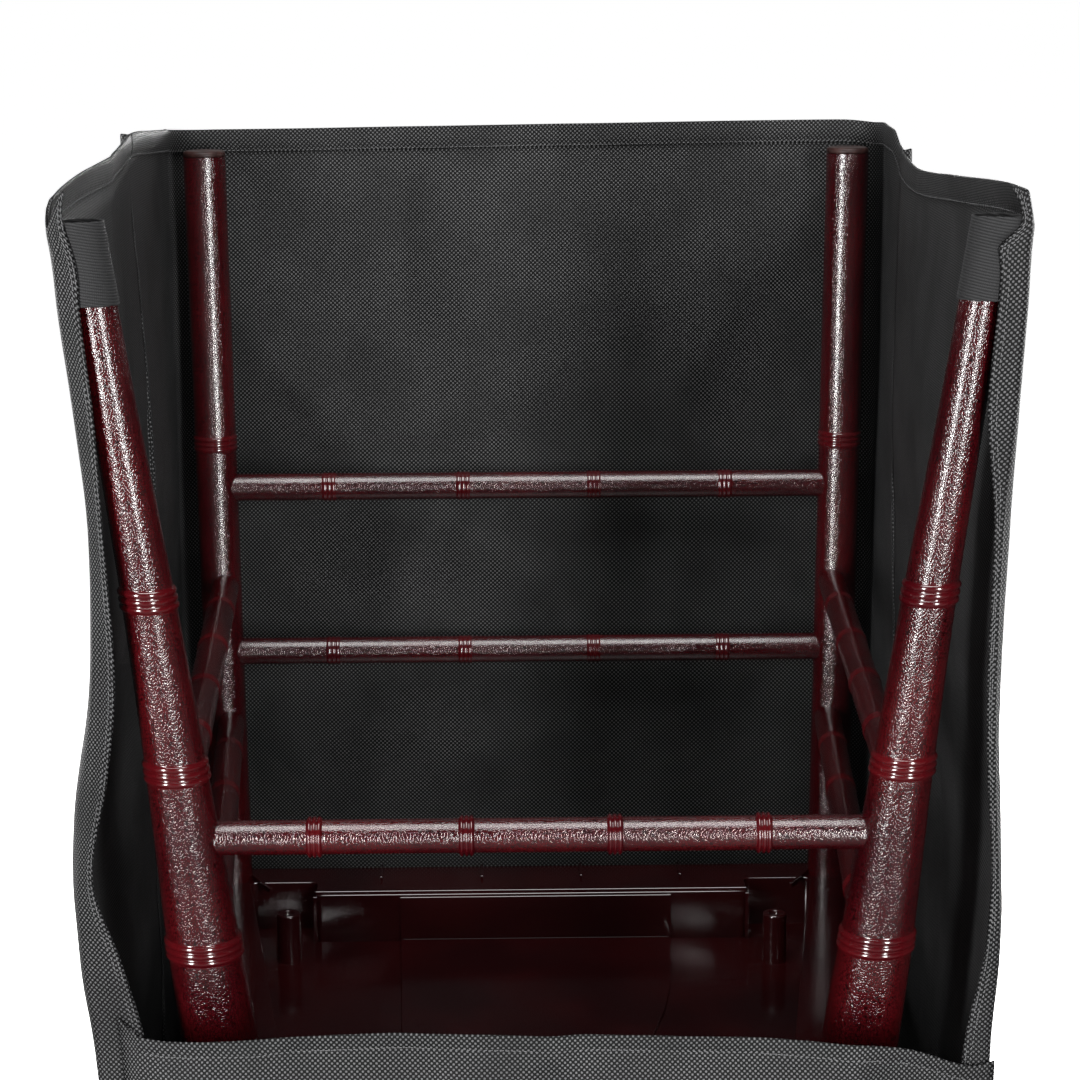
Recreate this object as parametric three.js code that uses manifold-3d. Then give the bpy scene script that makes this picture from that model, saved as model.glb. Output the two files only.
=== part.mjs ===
// A slip-on chiavari chair cover of black spunbonded cloth, standing on its closed end with
// the chair upside down inside it. The tall front panel wraps both far corners, a side panel
// on each side folds round the near corner into a narrow hemmed strip, and a low back panel
// closes the near side up to the seat. An elastic loop in each near corner grips a rear foot.
// Millimetres, +Z up towards the chair's feet, the back of the chair on -Y, floor at Z = 0.
import * as THREE from "three";
import { mergeVertices } from "three/addons/utils/BufferGeometryUtils.js";
import Module from "manifold-3d";

const wasm = await Module();
wasm.setup();

// ---- Driving dimensions -------------------------------------------------------------------
const gap = 0.3; // between pieces that touch
const room = 0.4; // around a piece that another is shaped to
const cloth = 1.5; // thickness of a wall panel
const endCloth = 2; // thickness of the closed end
const seatZ = 482.5; // underside of the seat frame, above the floor
const feetZ = seatZ + 433.8;
const rimZ = seatZ + 446; // the cover's top hem
const wallZ = endCloth + gap; // where the walls start
const farCornerRound = 26;
const nearCornerRound = 7;
const seamLeftY = 62; // where the front panel ends on the left side
const seamRightY = 115; // and on the right side
const lap = 0.5; // clear space between the back panel and the strips behind it
const pleat = 2.5; // how far the strips' free edges turn in above the back panel
const hemMid = seatZ + 60; // the back panel's top hem near its middle
const cornerWrap = 14; // how far the left side panel shows round its corner below that hem
const strapHeight = 36;
const strapCloth = 1.2;
const strapSlack = 0.5; // between a loop and the foot in it

// The cover's outline at each height above the seat: the near corners, the free edges of the
// strips, and the depth of the near and far walls. Rows run from the floor to the rim.
const outline = [
  { z: -480, leftX: -207, rightX: 207, leftEdge: -190, rightEdge: 190, nearY: -262, farY: 207 },
  { z: -330, leftX: -206, rightX: 207, leftEdge: -188, rightEdge: 189, nearY: -254, farY: 208 },
  { z: -160, leftX: -204, rightX: 208, leftEdge: -185, rightEdge: 190, nearY: -241, farY: 210 },
  { z: -20, leftX: -203, rightX: 208, leftEdge: -182, rightEdge: 191, nearY: -230, farY: 212 },
  { z: 50, leftX: -207, rightX: 209, leftEdge: -182, rightEdge: 195, nearY: -226, farY: 213 },
  { z: 95, leftX: -210.5, rightX: 210.5, leftEdge: -192, rightEdge: 203, nearY: -228, farY: 213 },
  { z: 135, leftX: -210.5, rightX: 208, leftEdge: -203, rightEdge: 204.5, nearY: -231, farY: 213 },
  { z: 185, leftX: -205, rightX: 204.5, leftEdge: -194, rightEdge: 200.5, nearY: -234, farY: 213 },
  { z: 230, leftX: -199.5, rightX: 203, leftEdge: -188.5, rightEdge: 198.5, nearY: -237, farY: 213 },
  { z: 300, leftX: -197, rightX: 203, leftEdge: -190.5, rightEdge: 198.5, nearY: -241, farY: 213 },
  { z: 350, leftX: -200.5, rightX: 204.5, leftEdge: -192, rightEdge: 193.5, nearY: -244, farY: 213 },
  { z: 400, leftX: -205.5, rightX: 208, leftEdge: -194, rightEdge: 196.5, nearY: -247, farY: 213 },
  { z: 432, leftX: -209.5, rightX: 209.5, leftEdge: -198, rightEdge: 202, nearY: -249, farY: 213 },
  { z: 446, leftX: -206, rightX: 206, leftEdge: -200, rightEdge: 204.5, nearY: -250, farY: 213 },
];
const farHalfWidth = 211; // of the far wall, at every height

// The chair, upside down. Heights here are above the seat's underside.
const legRadius = 12.25;
const frontHalf = 184.1; // front legs' axes at the seat
const frontHalfFoot = 187.4; // and at the feet
const frontY = 182.8;
const railRadius = 8;
const frontRails = [233.9, 132.7];
const sideRails = [175, 90];
const railInset = 3; // how far inside the legs' axes the side rails run
const rearRail = 146.5;
const frontRing = 261.6;
const rearRings = [92, 181.5, 264.6];
// The rear posts: half the spacing of their axes, how far they lean back, and their radius.
const post = [
  { z: -480, half: 166, back: 60, radius: 12 },
  { z: -330, half: 161, back: 31, radius: 14 },
  { z: -180, half: 154, back: 10, radius: 16.5 },
  { z: -60, half: 149.5, back: 0.5, radius: 18.6 },
  { z: 0, half: 149.3, back: 0, radius: 18.75 },
  { z: 92, half: 157.7, back: 12.6, radius: 17 },
  { z: 182, half: 166.2, back: 24.3, radius: 14 },
  { z: 265, half: 174.7, back: 34.6, radius: 12 },
  { z: 350, half: 184.9, back: 44.5, radius: 10.2 },
  { z: 433.8, half: 194.2, back: 53.7, radius: 8.5 },
];
const seatRimZ = -12;
const seatFloorZ = -27;
const seatBaseZ = -45;
const seatFarY = 199;
const seatNearY = -176;
const seatFarHalf = 200;
const seatNearHalf = 158;
const seatCorner = 14;
const seatRail = 17;
const plateHeight = 3.5;
const boss = { x: 137, y: 88, radius: 6.5, topZ: 2 };
const collarSize = { half: 7, flat: 4, proud: 2 };
const glideHeight = 6;
// Rails between the rear posts: the stretcher above the seat and the back's rails below it.
const backRails = [
  { name: "rear_stretcher", height: rearRail, radius: railRadius },
  { name: "back_lower_rail", height: -120, radius: 9 },
  { name: "back_upper_rail", height: -400, radius: 9 },
  { name: "crest_rail", height: -462, radius: 11 },
];
const spindleCount = 5;
const spindleRadius = 7;

const colours = { cloth: 0x1d1d1f, strap: 0x151516, resin: 0x4a1116, glide: 0x5d4a38 };

// ---- Tools --------------------------------------------------------------------------------
const group = new THREE.Group();

function material(name) {
  const roughness = name === "resin" || name === "glide" ? 0.3 : 0.85;
  return new THREE.MeshStandardMaterial({ color: colours[name], roughness, metalness: 0 });
}

function add(name, geometry, finish) {
  const mesh = new THREE.Mesh(geometry, material(finish));
  mesh.name = name;
  group.add(mesh);
}

// One column of a table at a height (or at a distance across), on a smooth curve through rows.
function along(rows, place, column, by = "z") {
  const last = rows.length - 1;
  let i = 0;
  while (i < last - 1 && place > rows[i + 1][by]) i += 1;
  const slope = (k) => {
    const a = rows[Math.max(k - 1, 0)];
    const b = rows[Math.min(k + 1, last)];
    return (b[column] - a[column]) / (b[by] - a[by]);
  };
  const [low, high] = [rows[i], rows[i + 1]];
  const span = high[by] - low[by];
  const t = Math.min(Math.max((place - low[by]) / span, 0), 1);
  const [t2, t3] = [t * t, t * t * t];
  return (
    (2 * t3 - 3 * t2 + 1) * low[column] +
    (t3 - 2 * t2 + t) * span * slope(i) +
    (3 * t2 - 2 * t3) * high[column] +
    (t3 - t2) * span * slope(i + 1)
  );
}

const smooth = (a, b, x) => {
  const t = Math.min(Math.max((x - a) / (b - a), 0), 1);
  return t * t * (3 - 2 * t);
};
const sideName = (side) => (side < 0 ? "left" : "right");
const bump = (x, middle, width) => Math.exp(-(((x - middle) / width) ** 2));
const spread = (from, to, count) =>
  Array.from({ length: count + 1 }, (_, i) => from + ((to - from) * i) / count);

function geometryOf(points, triangles) {
  const geometry = new THREE.BufferGeometry();
  geometry.setAttribute("position", new THREE.Float32BufferAttribute(points.flat(), 3));
  geometry.setIndex(triangles.flat());
  geometry.computeVertexNormals();
  return geometry;
}

// A thin sheet of cloth: middle(u, v) is its middle surface, us and vs where it is sampled.
function sheet(middle, us, vs, thickness) {
  const vector = (u, v) => new THREE.Vector3(...middle(u, v));
  const step = 1e-3; // for the surface's slopes
  const [front, back] = [[], []];
  for (const v of vs) {
    for (const u of us) {
      const du = vector(u + step, v).sub(vector(u - step, v));
      const dv = vector(u, v + step).sub(vector(u, v - step));
      const out = du.cross(dv).normalize().multiplyScalar(thickness / 2);
      front.push(vector(u, v).add(out).toArray());
      back.push(vector(u, v).sub(out).toArray());
    }
  }
  const [columns, rows] = [us.length, vs.length];
  const other = columns * rows;
  const triangles = [];
  const quad = (a, b, c, d) => triangles.push([a, b, c], [a, c, d]);
  for (let j = 0; j < rows - 1; j += 1) {
    for (let i = 0; i < columns - 1; i += 1) {
      const [a, b] = [j * columns + i, j * columns + i + 1];
      quad(a, b, b + columns, a + columns);
      quad(other + b, other + a, other + a + columns, other + b + columns);
    }
  }
  const edge = [];
  for (let i = 0; i < columns - 1; i += 1) edge.push(i);
  for (let j = 0; j < rows - 1; j += 1) edge.push(j * columns + columns - 1);
  for (let i = columns - 1; i > 0; i -= 1) edge.push((rows - 1) * columns + i);
  for (let j = rows - 1; j > 0; j -= 1) edge.push(j * columns);
  edge.forEach((a, k) => {
    const b = edge[(k + 1) % edge.length];
    quad(b, a, other + a, other + b);
  });
  return geometryOf([...front, ...back], triangles);
}

// A turned piece whose axis bends: a lathe profile of [radius, height], moved by axis(height).
function turned(profile, axis, sides) {
  const points = profile.map(([radius, height]) => new THREE.Vector2(radius, height));
  const geometry = new THREE.LatheGeometry(points, sides).rotateX(Math.PI / 2);
  const place = geometry.getAttribute("position");
  for (let i = 0; i < place.count; i += 1) {
    const [x, y] = axis(place.getZ(i));
    place.setXYZ(i, place.getX(i) + x, place.getY(i) + y, place.getZ(i));
  }
  return geometry;
}

// A straight rod between two points.
function rod(from, to, radius, sides) {
  const [a, b] = [new THREE.Vector3(...from), new THREE.Vector3(...to)];
  const way = b.clone().sub(a);
  const turn = new THREE.Quaternion().setFromUnitVectors(
    new THREE.Vector3(0, 1, 0),
    way.clone().normalize(),
  );
  return new THREE.CylinderGeometry(radius, radius, way.length(), sides)
    .applyQuaternion(turn)
    .translate(...a.add(b).multiplyScalar(0.5).toArray());
}

function solid(geometry) {
  const bare = geometry.index ? geometry.clone() : mergeVertices(geometry);
  bare.deleteAttribute("normal");
  bare.deleteAttribute("uv");
  const merged = mergeVertices(bare, 1e-3);
  const triVerts = new Uint32Array(merged.index.array);
  const vertProperties = merged.attributes.position.array;
  return new wasm.Manifold(new wasm.Mesh({ numProp: 3, vertProperties, triVerts }));
}

function geometryFrom(body) {
  const mesh = body.getMesh();
  const geometry = new THREE.BufferGeometry();
  geometry.setAttribute("position", new THREE.BufferAttribute(mesh.vertProperties, 3));
  geometry.setIndex(new THREE.BufferAttribute(mesh.triVerts, 1));
  geometry.computeVertexNormals();
  return geometry;
}

// What is left of a piece where others pass through it.
const cutBy = (geometry, others) =>
  geometryFrom(others.reduce((left, other) => left.subtract(solid(other)), solid(geometry)));

// ---- The cover's walls --------------------------------------------------------------------
// The wall's plan at height z on one side runs from the middle of the far wall round to the
// strip's free edge. Station q counts its stretches: 0 to 1 far wall, 1 to 2 far corner,
// 2 to 3 side, 3 to 4 near corner, 4 to 5 strip.
function planPoint(side, q, z) {
  const h = z - seatZ;
  const name = sideName(side);
  const nearY = along(outline, h, "nearY");
  const farY = along(outline, h, "farY");
  const middle = new THREE.Vector2(0, farY);
  const far = new THREE.Vector2(side * farHalfWidth, farY);
  const near = new THREE.Vector2(along(outline, h, `${name}X`), nearY);
  const turnedIn = pleat * smooth(hemMid - 20, hemMid + 70, z);
  const edge = new THREE.Vector2(along(outline, h, `${name}Edge`), nearY + turnedIn);
  const toward = (from, to, distance) =>
    from.clone().add(to.clone().sub(from).normalize().multiplyScalar(distance));
  const stops = [
    middle,
    toward(far, middle, farCornerRound),
    toward(far, near, farCornerRound),
    toward(near, far, nearCornerRound),
    toward(near, edge, Math.min(nearCornerRound, near.distanceTo(edge) / 2)),
    edge,
  ];
  const i = Math.min(Math.max(Math.floor(q), 0), 4);
  const t = q - i;
  if (i === 1 || i === 3) {
    const corner = i === 1 ? far : near;
    const from = stops[i].clone().multiplyScalar((1 - t) ** 2);
    const turn = corner.clone().multiplyScalar(2 * t * (1 - t));
    return from.add(turn).add(stops[i + 1].clone().multiplyScalar(t * t));
  }
  return stops[i].clone().lerp(stops[i + 1], t);
}

// The soft waves of the walls, as a push outwards.
function wave(side, q, z) {
  const h = z - seatZ;
  if (q < 2) {
    const across = Math.min(q, 1);
    const dish = -3 * bump(h, 260, 150) * (1 - across ** 2);
    return dish + 2 * Math.sin(h / 95 + side * across * 3) * across * (1 - across);
  }
  const inside = Math.min(q, 3) - 2;
  const belly = 4 * inside * (1 - inside);
  if (side < 0) return belly * (6 - 6 * bump(h, 230, 120) - 3 * smooth(0, -300, h));
  return belly * (3 * bump(h, 60, 130) - 4 * bump(h, 330, 110));
}

// How far the top hem stands below the rim at each station: it dips at the near corners' folds,
// rises at the left seam and drops in a step at the right one.
const hemDrop = {
  left: [
    { q: 0, drop: 0.3 },
    { q: 1, drop: 2.3 },
    { q: 1.5, drop: 2 },
    { q: 2, drop: 0.4 },
    { q: 2.1, drop: -1.6 },
    { q: 2.28, drop: -5 },
    { q: 2.4, drop: -1 },
    { q: 2.56, drop: 0.3 },
    { q: 2.88, drop: 0.8 },
    { q: 3.05, drop: 3.5 },
    { q: 3.3, drop: 11 },
    { q: 3.5, drop: 14.5 },
    { q: 4, drop: 8 },
    { q: 4.5, drop: 2 },
    { q: 5, drop: -1 },
  ],
  right: [
    { q: 0, drop: 0.3 },
    { q: 1, drop: -1.5 },
    { q: 1.5, drop: -0.3 },
    { q: 2.08, drop: 0.5 },
    { q: 2.14, drop: 7.5 },
    { q: 2.22, drop: 12 },
    { q: 2.33, drop: 15 },
    { q: 2.6, drop: 9 },
    { q: 2.88, drop: 2 },
    { q: 3, drop: 1 },
    { q: 3.5, drop: 11 },
    { q: 4, drop: 7 },
    { q: 4.5, drop: 1 },
    { q: 5, drop: -1 },
  ],
};

function wallPoint(side, q, lift) {
  const top = rimZ - along(hemDrop[sideName(side)], q, "drop", "q");
  const z = wallZ + (top - wallZ) * lift;
  const point = planPoint(side, q, z);
  const ahead = planPoint(side, q + 0.01, z).sub(planPoint(side, q - 0.01, z)).normalize();
  const push = wave(side, q, z);
  return [point.x - side * ahead.y * push, point.y + side * ahead.x * push, z];
}

// The station on a side where the seam with the front panel runs.
function seamStation(side, lift, offset) {
  const seamY = side < 0 ? seamLeftY : seamRightY;
  const start = wallPoint(side, 2, lift)[1];
  const end = wallPoint(side, 3, lift)[1];
  return 2 + (start - seamY + offset) / (start - end);
}

const lifts = [
  ...spread(0, 0.5, 6),
  ...spread(0.5, 1, 15).slice(1),
];

// The front panel: u runs from the left seam (-1) over the far wall to the right seam (+1).
function frontPanel() {
  const corner = 0.72; // where u reaches the far corner's end
  const flat = 0.5; // and where it leaves the far wall
  const us = [
    ...spread(-1, -corner, 2),
    ...spread(-corner, -flat, 4).slice(1),
    ...spread(-flat, flat, 8).slice(1),
    ...spread(flat, corner, 4).slice(1),
    ...spread(corner, 1, 2).slice(1),
  ];
  const middle = (u, v) => {
    const side = u < 0 ? -1 : 1;
    const a = Math.abs(u);
    const last = seamStation(side, v, 0);
    let q = a / flat;
    if (a > corner) q = 2 + ((a - corner) / (1 - corner)) * (last - 2);
    else if (a > flat) q = 1 + (a - flat) / (corner - flat);
    return wallPoint(side, q, v);
  };
  return sheet((u, v) => middle(-u, v), us, lifts, cloth);
}

// A side panel, from its seam round the near corner to the free edge of its strip.
function sidePanel(side) {
  const us = [
    ...spread(0, 0.3, 4),
    ...spread(0.3, 1, 5).slice(1),
    ...spread(1, 2, 4).slice(1),
    ...spread(2, 3, 2).slice(1),
  ];
  const middle = (u, v) => {
    const first = seamStation(side, v, room);
    return wallPoint(side, u < 1 ? first + (3 - first) * u : 2 + u, v);
  };
  if (side < 0) return sheet(middle, us, lifts, cloth);
  return sheet((u, v) => middle(3 - u, v), us.map((u) => 3 - u).reverse(), lifts, cloth);
}

// The back panel's top hem, from its left corner to its right one.
const hem = [
  { x: -194, height: 69 },
  { x: -185, height: 59.5 },
  { x: -134, height: 59 },
  { x: -60, height: 62 },
  { x: 40, height: 59.7 },
  { x: 110, height: 56 },
  { x: 165, height: 51.5 },
  { x: 198, height: 41 },
  { x: 209, height: 43 },
];
const hemZ = (x) => seatZ + along(hem, x, "height", "x");

// The back panel's middle surface: u from its left end (-1) to the right corner (+1).
function backPoint(u, lift) {
  const rough = wallZ + (hemMid - wallZ) * lift - seatZ;
  const left = along(outline, rough, "leftX") + cornerWrap;
  const right = along(outline, rough, "rightX");
  const x = left + ((right - left) * (u + 1)) / 2;
  const z = wallZ + (hemZ(x) - wallZ) * lift;
  const h = z - seatZ;
  const belly = (1 - u * u) * (2 + 3 * Math.sin(h / 120 + 1.2));
  const crease = 2.2 * bump(x - 0.9 * (h - 20), 70, 26) * smooth(-150, 0, h) * (1 - u ** 4);
  return [x, along(outline, h, "nearY") - cloth - lap - belly + crease, z];
}

function backPanel() {
  const vs = [...spread(0, 0.7, 5), ...spread(0.7, 1, 6).slice(1)];
  return sheet(backPoint, spread(-1, 1, 18), vs, cloth);
}

// The closed end under everything, out to the walls' outer faces.
function endPanel() {
  const shape = new THREE.Shape();
  const stations = [0.5, ...spread(1, 2, 4), 3];
  const overhang = 0.8;
  const grown = ([x, y]) => [x + Math.sign(x) * overhang, y + Math.sign(y) * overhang];
  const right = stations.map((q) => grown(wallPoint(1, q, 0)));
  const left = [...stations, 3.5, 4].map((q) => grown(wallPoint(-1, q, 0))).reverse();
  const near = spread(1, -1, 12).map((u) => grown(backPoint(u, 0)));
  [...right, ...near, ...left].forEach(([x, y], i) => (i ? shape.lineTo(x, y) : shape.moveTo(x, y)));
  return new THREE.ExtrudeGeometry(shape, { depth: endCloth, bevelEnabled: false });
}

add("front_panel", frontPanel(), "cloth");
add("side_panel_left", sidePanel(-1), "cloth");
add("side_panel_right", sidePanel(1), "cloth");
add("back_panel", backPanel(), "cloth");
add("end_panel", endPanel(), "cloth");

// ---- The chair ----------------------------------------------------------------------------
const postAxis = (side) => (z) => [
  side * along(post, z - seatZ, "half"),
  -frontY - along(post, z - seatZ, "back"),
];
const frontAxis = (side) => (z) => [
  side * (frontHalf + ((frontHalfFoot - frontHalf) * (z - seatZ)) / (feetZ - seatZ)),
  frontY,
];

// A collar's profile on a leg of the given radius: two chamfers and a flat.
const collar = (z, radius) => [
  [radius, z - collarSize.half],
  [radius + collarSize.proud, z - collarSize.flat],
  [radius + collarSize.proud, z + collarSize.flat],
  [radius, z + collarSize.half],
];

function rearPost(side, grow) {
  const radiusAt = (z) => along(post, z, "radius") + grow;
  const plain = (heights) => heights.map((z) => [radiusAt(z), seatZ + z]);
  const ring = (z) => collar(seatZ + z, radiusAt(z));
  const bottom = wallZ - seatZ;
  const profile = [
    [0, wallZ],
    ...plain([bottom, -330, -180, -60, 0, 40]),
    ...ring(rearRings[0]),
    ...plain([135]),
    ...ring(rearRings[1]),
    ...plain([225]),
    ...ring(rearRings[2]),
    ...plain([320, 380, 433.8]),
    [0, feetZ],
  ];
  return turned(profile, postAxis(side), 12);
}

function frontLeg(side, grow) {
  const radius = legRadius + grow;
  const profile = [
    [0, seatZ + seatRimZ + gap],
    [radius, seatZ + seatRimZ + gap],
    ...collar(seatZ + frontRing, radius),
    [radius, feetZ - glideHeight - gap],
    [0, feetZ - glideHeight - gap],
  ];
  return turned(profile, frontAxis(side), 12);
}

function glide(side) {
  const [low, chamfer] = [feetZ - glideHeight, 2];
  const profile = [[0, low], [legRadius + room, low], [legRadius, feetZ - chamfer / 2]];
  return turned([...profile, [legRadius - chamfer, feetZ], [0, feetZ]], frontAxis(side), 16);
}

const uprights = [-1, 1].flatMap((side) => [rearPost(side, room), frontLeg(side, room)]);
// A rail from one upright's axis to another's, shaped to them at its ends.
const fitted = (from, to, radius) => cutBy(rod(from, to, radius, 8), uprights);

for (const side of [-1, 1]) {
  const name = sideName(side);
  add(`rear_post_${name}`, rearPost(side, 0), "resin");
  add(`front_leg_${name}`, frontLeg(side, 0), "resin");
  add(`glide_${name}`, glide(side), "glide");
  sideRails.forEach((height, i) => {
    const z = seatZ + height;
    const [front, rear] = [frontAxis(side)(z), postAxis(side)(z)];
    const inboard = side * -railInset;
    const rail = fitted([front[0] + inboard, front[1], z], [rear[0] + inboard, rear[1], z], railRadius);
    add(`side_stretcher_${name}_${i + 1}`, rail, "resin");
  });
}

frontRails.forEach((height, i) => {
  const z = seatZ + height;
  const ends = [-1, 1].map((side) => [...frontAxis(side)(z), z]);
  add(`front_stretcher_${i + 1}`, fitted(ends[0], ends[1], railRadius), "resin");
});

function betweenPosts({ height, radius }, grow = 0) {
  const z = seatZ + height;
  const ends = [-1, 1].map((side) => [...postAxis(side)(z), z]);
  return fitted(ends[0], ends[1], radius + grow);
}
backRails.forEach((rail) => add(rail.name, betweenPosts(rail), "resin"));

// Spindles of the back, from the lower rail to the upper one.
const spindleRails = backRails.slice(1, 3);
for (let i = 0; i < spindleCount; i += 1) {
  const at = (i + 1) / (spindleCount + 1) - 0.5;
  const [top, foot] = spindleRails.map(({ height }) => {
    const z = seatZ + height;
    const [x, y] = postAxis(1)(z);
    return [2 * x * at, y, z];
  });
  const around = spindleRails.map((rail) => betweenPosts(rail, room));
  add(`back_spindle_${i + 1}`, cutBy(rod(foot, top, spindleRadius, 8), around), "resin");
}

// The seat: a tray seen from below, with a rim, a floor, a raised middle and two bosses.
function trapezoid(farY, nearY, farHalf, nearHalf, round) {
  const corners = [[-farHalf, farY], [farHalf, farY], [nearHalf, nearY], [-nearHalf, nearY]];
  const shape = new THREE.Shape();
  corners.forEach((corner, i) => {
    const before = new THREE.Vector2(...corners[(i + 3) % 4]);
    const after = new THREE.Vector2(...corners[(i + 1) % 4]);
    const here = new THREE.Vector2(...corner);
    const inPoint = here.clone().add(before.sub(here).normalize().multiplyScalar(round));
    const outPoint = here.clone().add(after.sub(here).normalize().multiplyScalar(round));
    if (i) shape.lineTo(inPoint.x, inPoint.y);
    else shape.moveTo(inPoint.x, inPoint.y);
    shape.quadraticCurveTo(here.x, here.y, outPoint.x, outPoint.y);
  });
  return shape;
}

const slab = (shape, low, high) =>
  new THREE.ExtrudeGeometry(shape, { depth: high - low, bevelEnabled: false, curveSegments: 4 })
    .translate(0, 0, seatZ + low);

function seat() {
  const block = slab(
    trapezoid(seatFarY, seatNearY, seatFarHalf, seatNearHalf, seatCorner),
    seatBaseZ,
    seatRimZ,
  );
  const hollow = slab(
    trapezoid(seatFarY - seatRail, seatNearY + 30, seatFarHalf - 26, seatNearHalf - 34, seatCorner),
    seatFloorZ,
    seatRimZ + 1,
  );
  return cutBy(block, [hollow, rearPost(-1, room), rearPost(1, room)]);
}

add("seat", seat(), "resin");
const plateZ = seatFloorZ + gap;
add("seat_plate", slab(trapezoid(176, -120, 81, 70, 5), plateZ, plateZ + plateHeight), "resin");
for (const side of [-1, 1]) {
  const foot = [side * boss.x, boss.y, seatZ + seatFloorZ + gap];
  const top = [side * boss.x, boss.y, seatZ + boss.topZ];
  add(`seat_boss_${sideName(side)}`, rod(foot, top, boss.radius, 12), "resin");
}

// ---- The elastic loops --------------------------------------------------------------------
// A loop follows the foot round and comes to a point at the strip's edge, where it is sewn in.
function strap(side) {
  const sections = 28;
  const low = feetZ - strapHeight;
  const ringPoint = (turn, z, out) => {
    const [x, y] = postAxis(side)(z);
    const foot = along(post, z - seatZ, "radius") + strapSlack + out;
    const edgeX = along(outline, z - seatZ, `${sideName(side)}Edge`);
    const edgeY = along(outline, z - seatZ, "nearY") + pleat + cloth / 2 + strapCloth;
    const pull = Math.hypot(edgeX - x, edgeY - y) - foot;
    const toEdge = Math.atan2(edgeY - y, edgeX - x);
    const point = Math.max(Math.cos(turn), 0) ** 6 * Math.max(pull - strapCloth + out, 0);
    const angle = toEdge + turn;
    return [x + Math.cos(angle) * (foot + point), y + Math.sin(angle) * (foot + point), z];
  };
  const heights = spread(low, feetZ, 3);
  const points = [];
  for (const out of [strapCloth, 0]) {
    for (const z of heights) {
      for (let i = 0; i < sections; i += 1) {
        points.push(ringPoint((2 * Math.PI * i) / sections, z, out));
      }
    }
  }
  const triangles = [];
  const rings = heights.length;
  const index = (skin, row, i) => (skin * rings + row) * sections + (i % sections);
  const quad = (a, b, c, d) => triangles.push([a, b, c], [a, c, d]);
  for (let i = 0; i < sections; i += 1) {
    for (let row = 0; row < rings - 1; row += 1) {
      quad(index(0, row, i), index(0, row, i + 1), index(0, row + 1, i + 1), index(0, row + 1, i));
      quad(index(1, row, i + 1), index(1, row, i), index(1, row + 1, i), index(1, row + 1, i + 1));
    }
    quad(index(1, 0, i), index(1, 0, i + 1), index(0, 0, i + 1), index(0, 0, i));
    const top = rings - 1;
    quad(index(0, top, i), index(0, top, i + 1), index(1, top, i + 1), index(1, top, i));
  }
  return geometryOf(points, triangles);
}
add("strap_left", strap(-1), "strap");
add("strap_right", strap(1), "strap");

export default group;
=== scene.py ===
import math

import bmesh
import bpy
import numpy as np
from mathutils import Matrix, Vector


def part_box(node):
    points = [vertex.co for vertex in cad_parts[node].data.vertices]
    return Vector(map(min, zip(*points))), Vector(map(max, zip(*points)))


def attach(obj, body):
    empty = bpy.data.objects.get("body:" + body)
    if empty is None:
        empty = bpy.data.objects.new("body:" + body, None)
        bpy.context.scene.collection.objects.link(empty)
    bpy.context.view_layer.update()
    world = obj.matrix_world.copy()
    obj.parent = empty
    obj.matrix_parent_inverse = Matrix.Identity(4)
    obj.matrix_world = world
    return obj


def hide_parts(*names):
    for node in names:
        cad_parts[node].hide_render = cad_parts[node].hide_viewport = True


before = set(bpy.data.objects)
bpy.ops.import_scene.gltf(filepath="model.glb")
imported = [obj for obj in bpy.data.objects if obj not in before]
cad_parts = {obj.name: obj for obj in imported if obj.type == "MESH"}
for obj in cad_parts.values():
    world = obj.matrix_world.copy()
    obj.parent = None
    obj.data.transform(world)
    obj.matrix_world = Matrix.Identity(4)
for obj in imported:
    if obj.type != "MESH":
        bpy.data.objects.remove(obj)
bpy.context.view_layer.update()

mm = 0.001
rimDepth = 12
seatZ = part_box("seat")[1].z / mm + rimDepth  # heights on the chair and the cover start here
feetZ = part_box("rear_post_left")[1].z / mm
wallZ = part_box("front_panel")[0].z / mm  # the walls' foot
rimZ = seatZ + 446  # the cover's rim


def operator(operation, reflected=False):
    # a Python operator that adds its Math node
    def apply(self, other):
        values = (other, self) if reflected else (self, other)
        return self.graph.math(operation, *values)

    return apply


class Value:
    # a node's output that takes Python's operators
    def __init__(self, graph, socket):
        self.graph, self.socket = graph, socket

    def __abs__(self):
        return self.graph.math("ABSOLUTE", self)

    __add__ = __radd__ = operator("ADD")
    __sub__, __rsub__ = operator("SUBTRACT"), operator("SUBTRACT", True)
    __mul__ = __rmul__ = operator("MULTIPLY")
    __truediv__ = operator("DIVIDE")
    __lt__ = operator("LESS_THAN")


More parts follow.
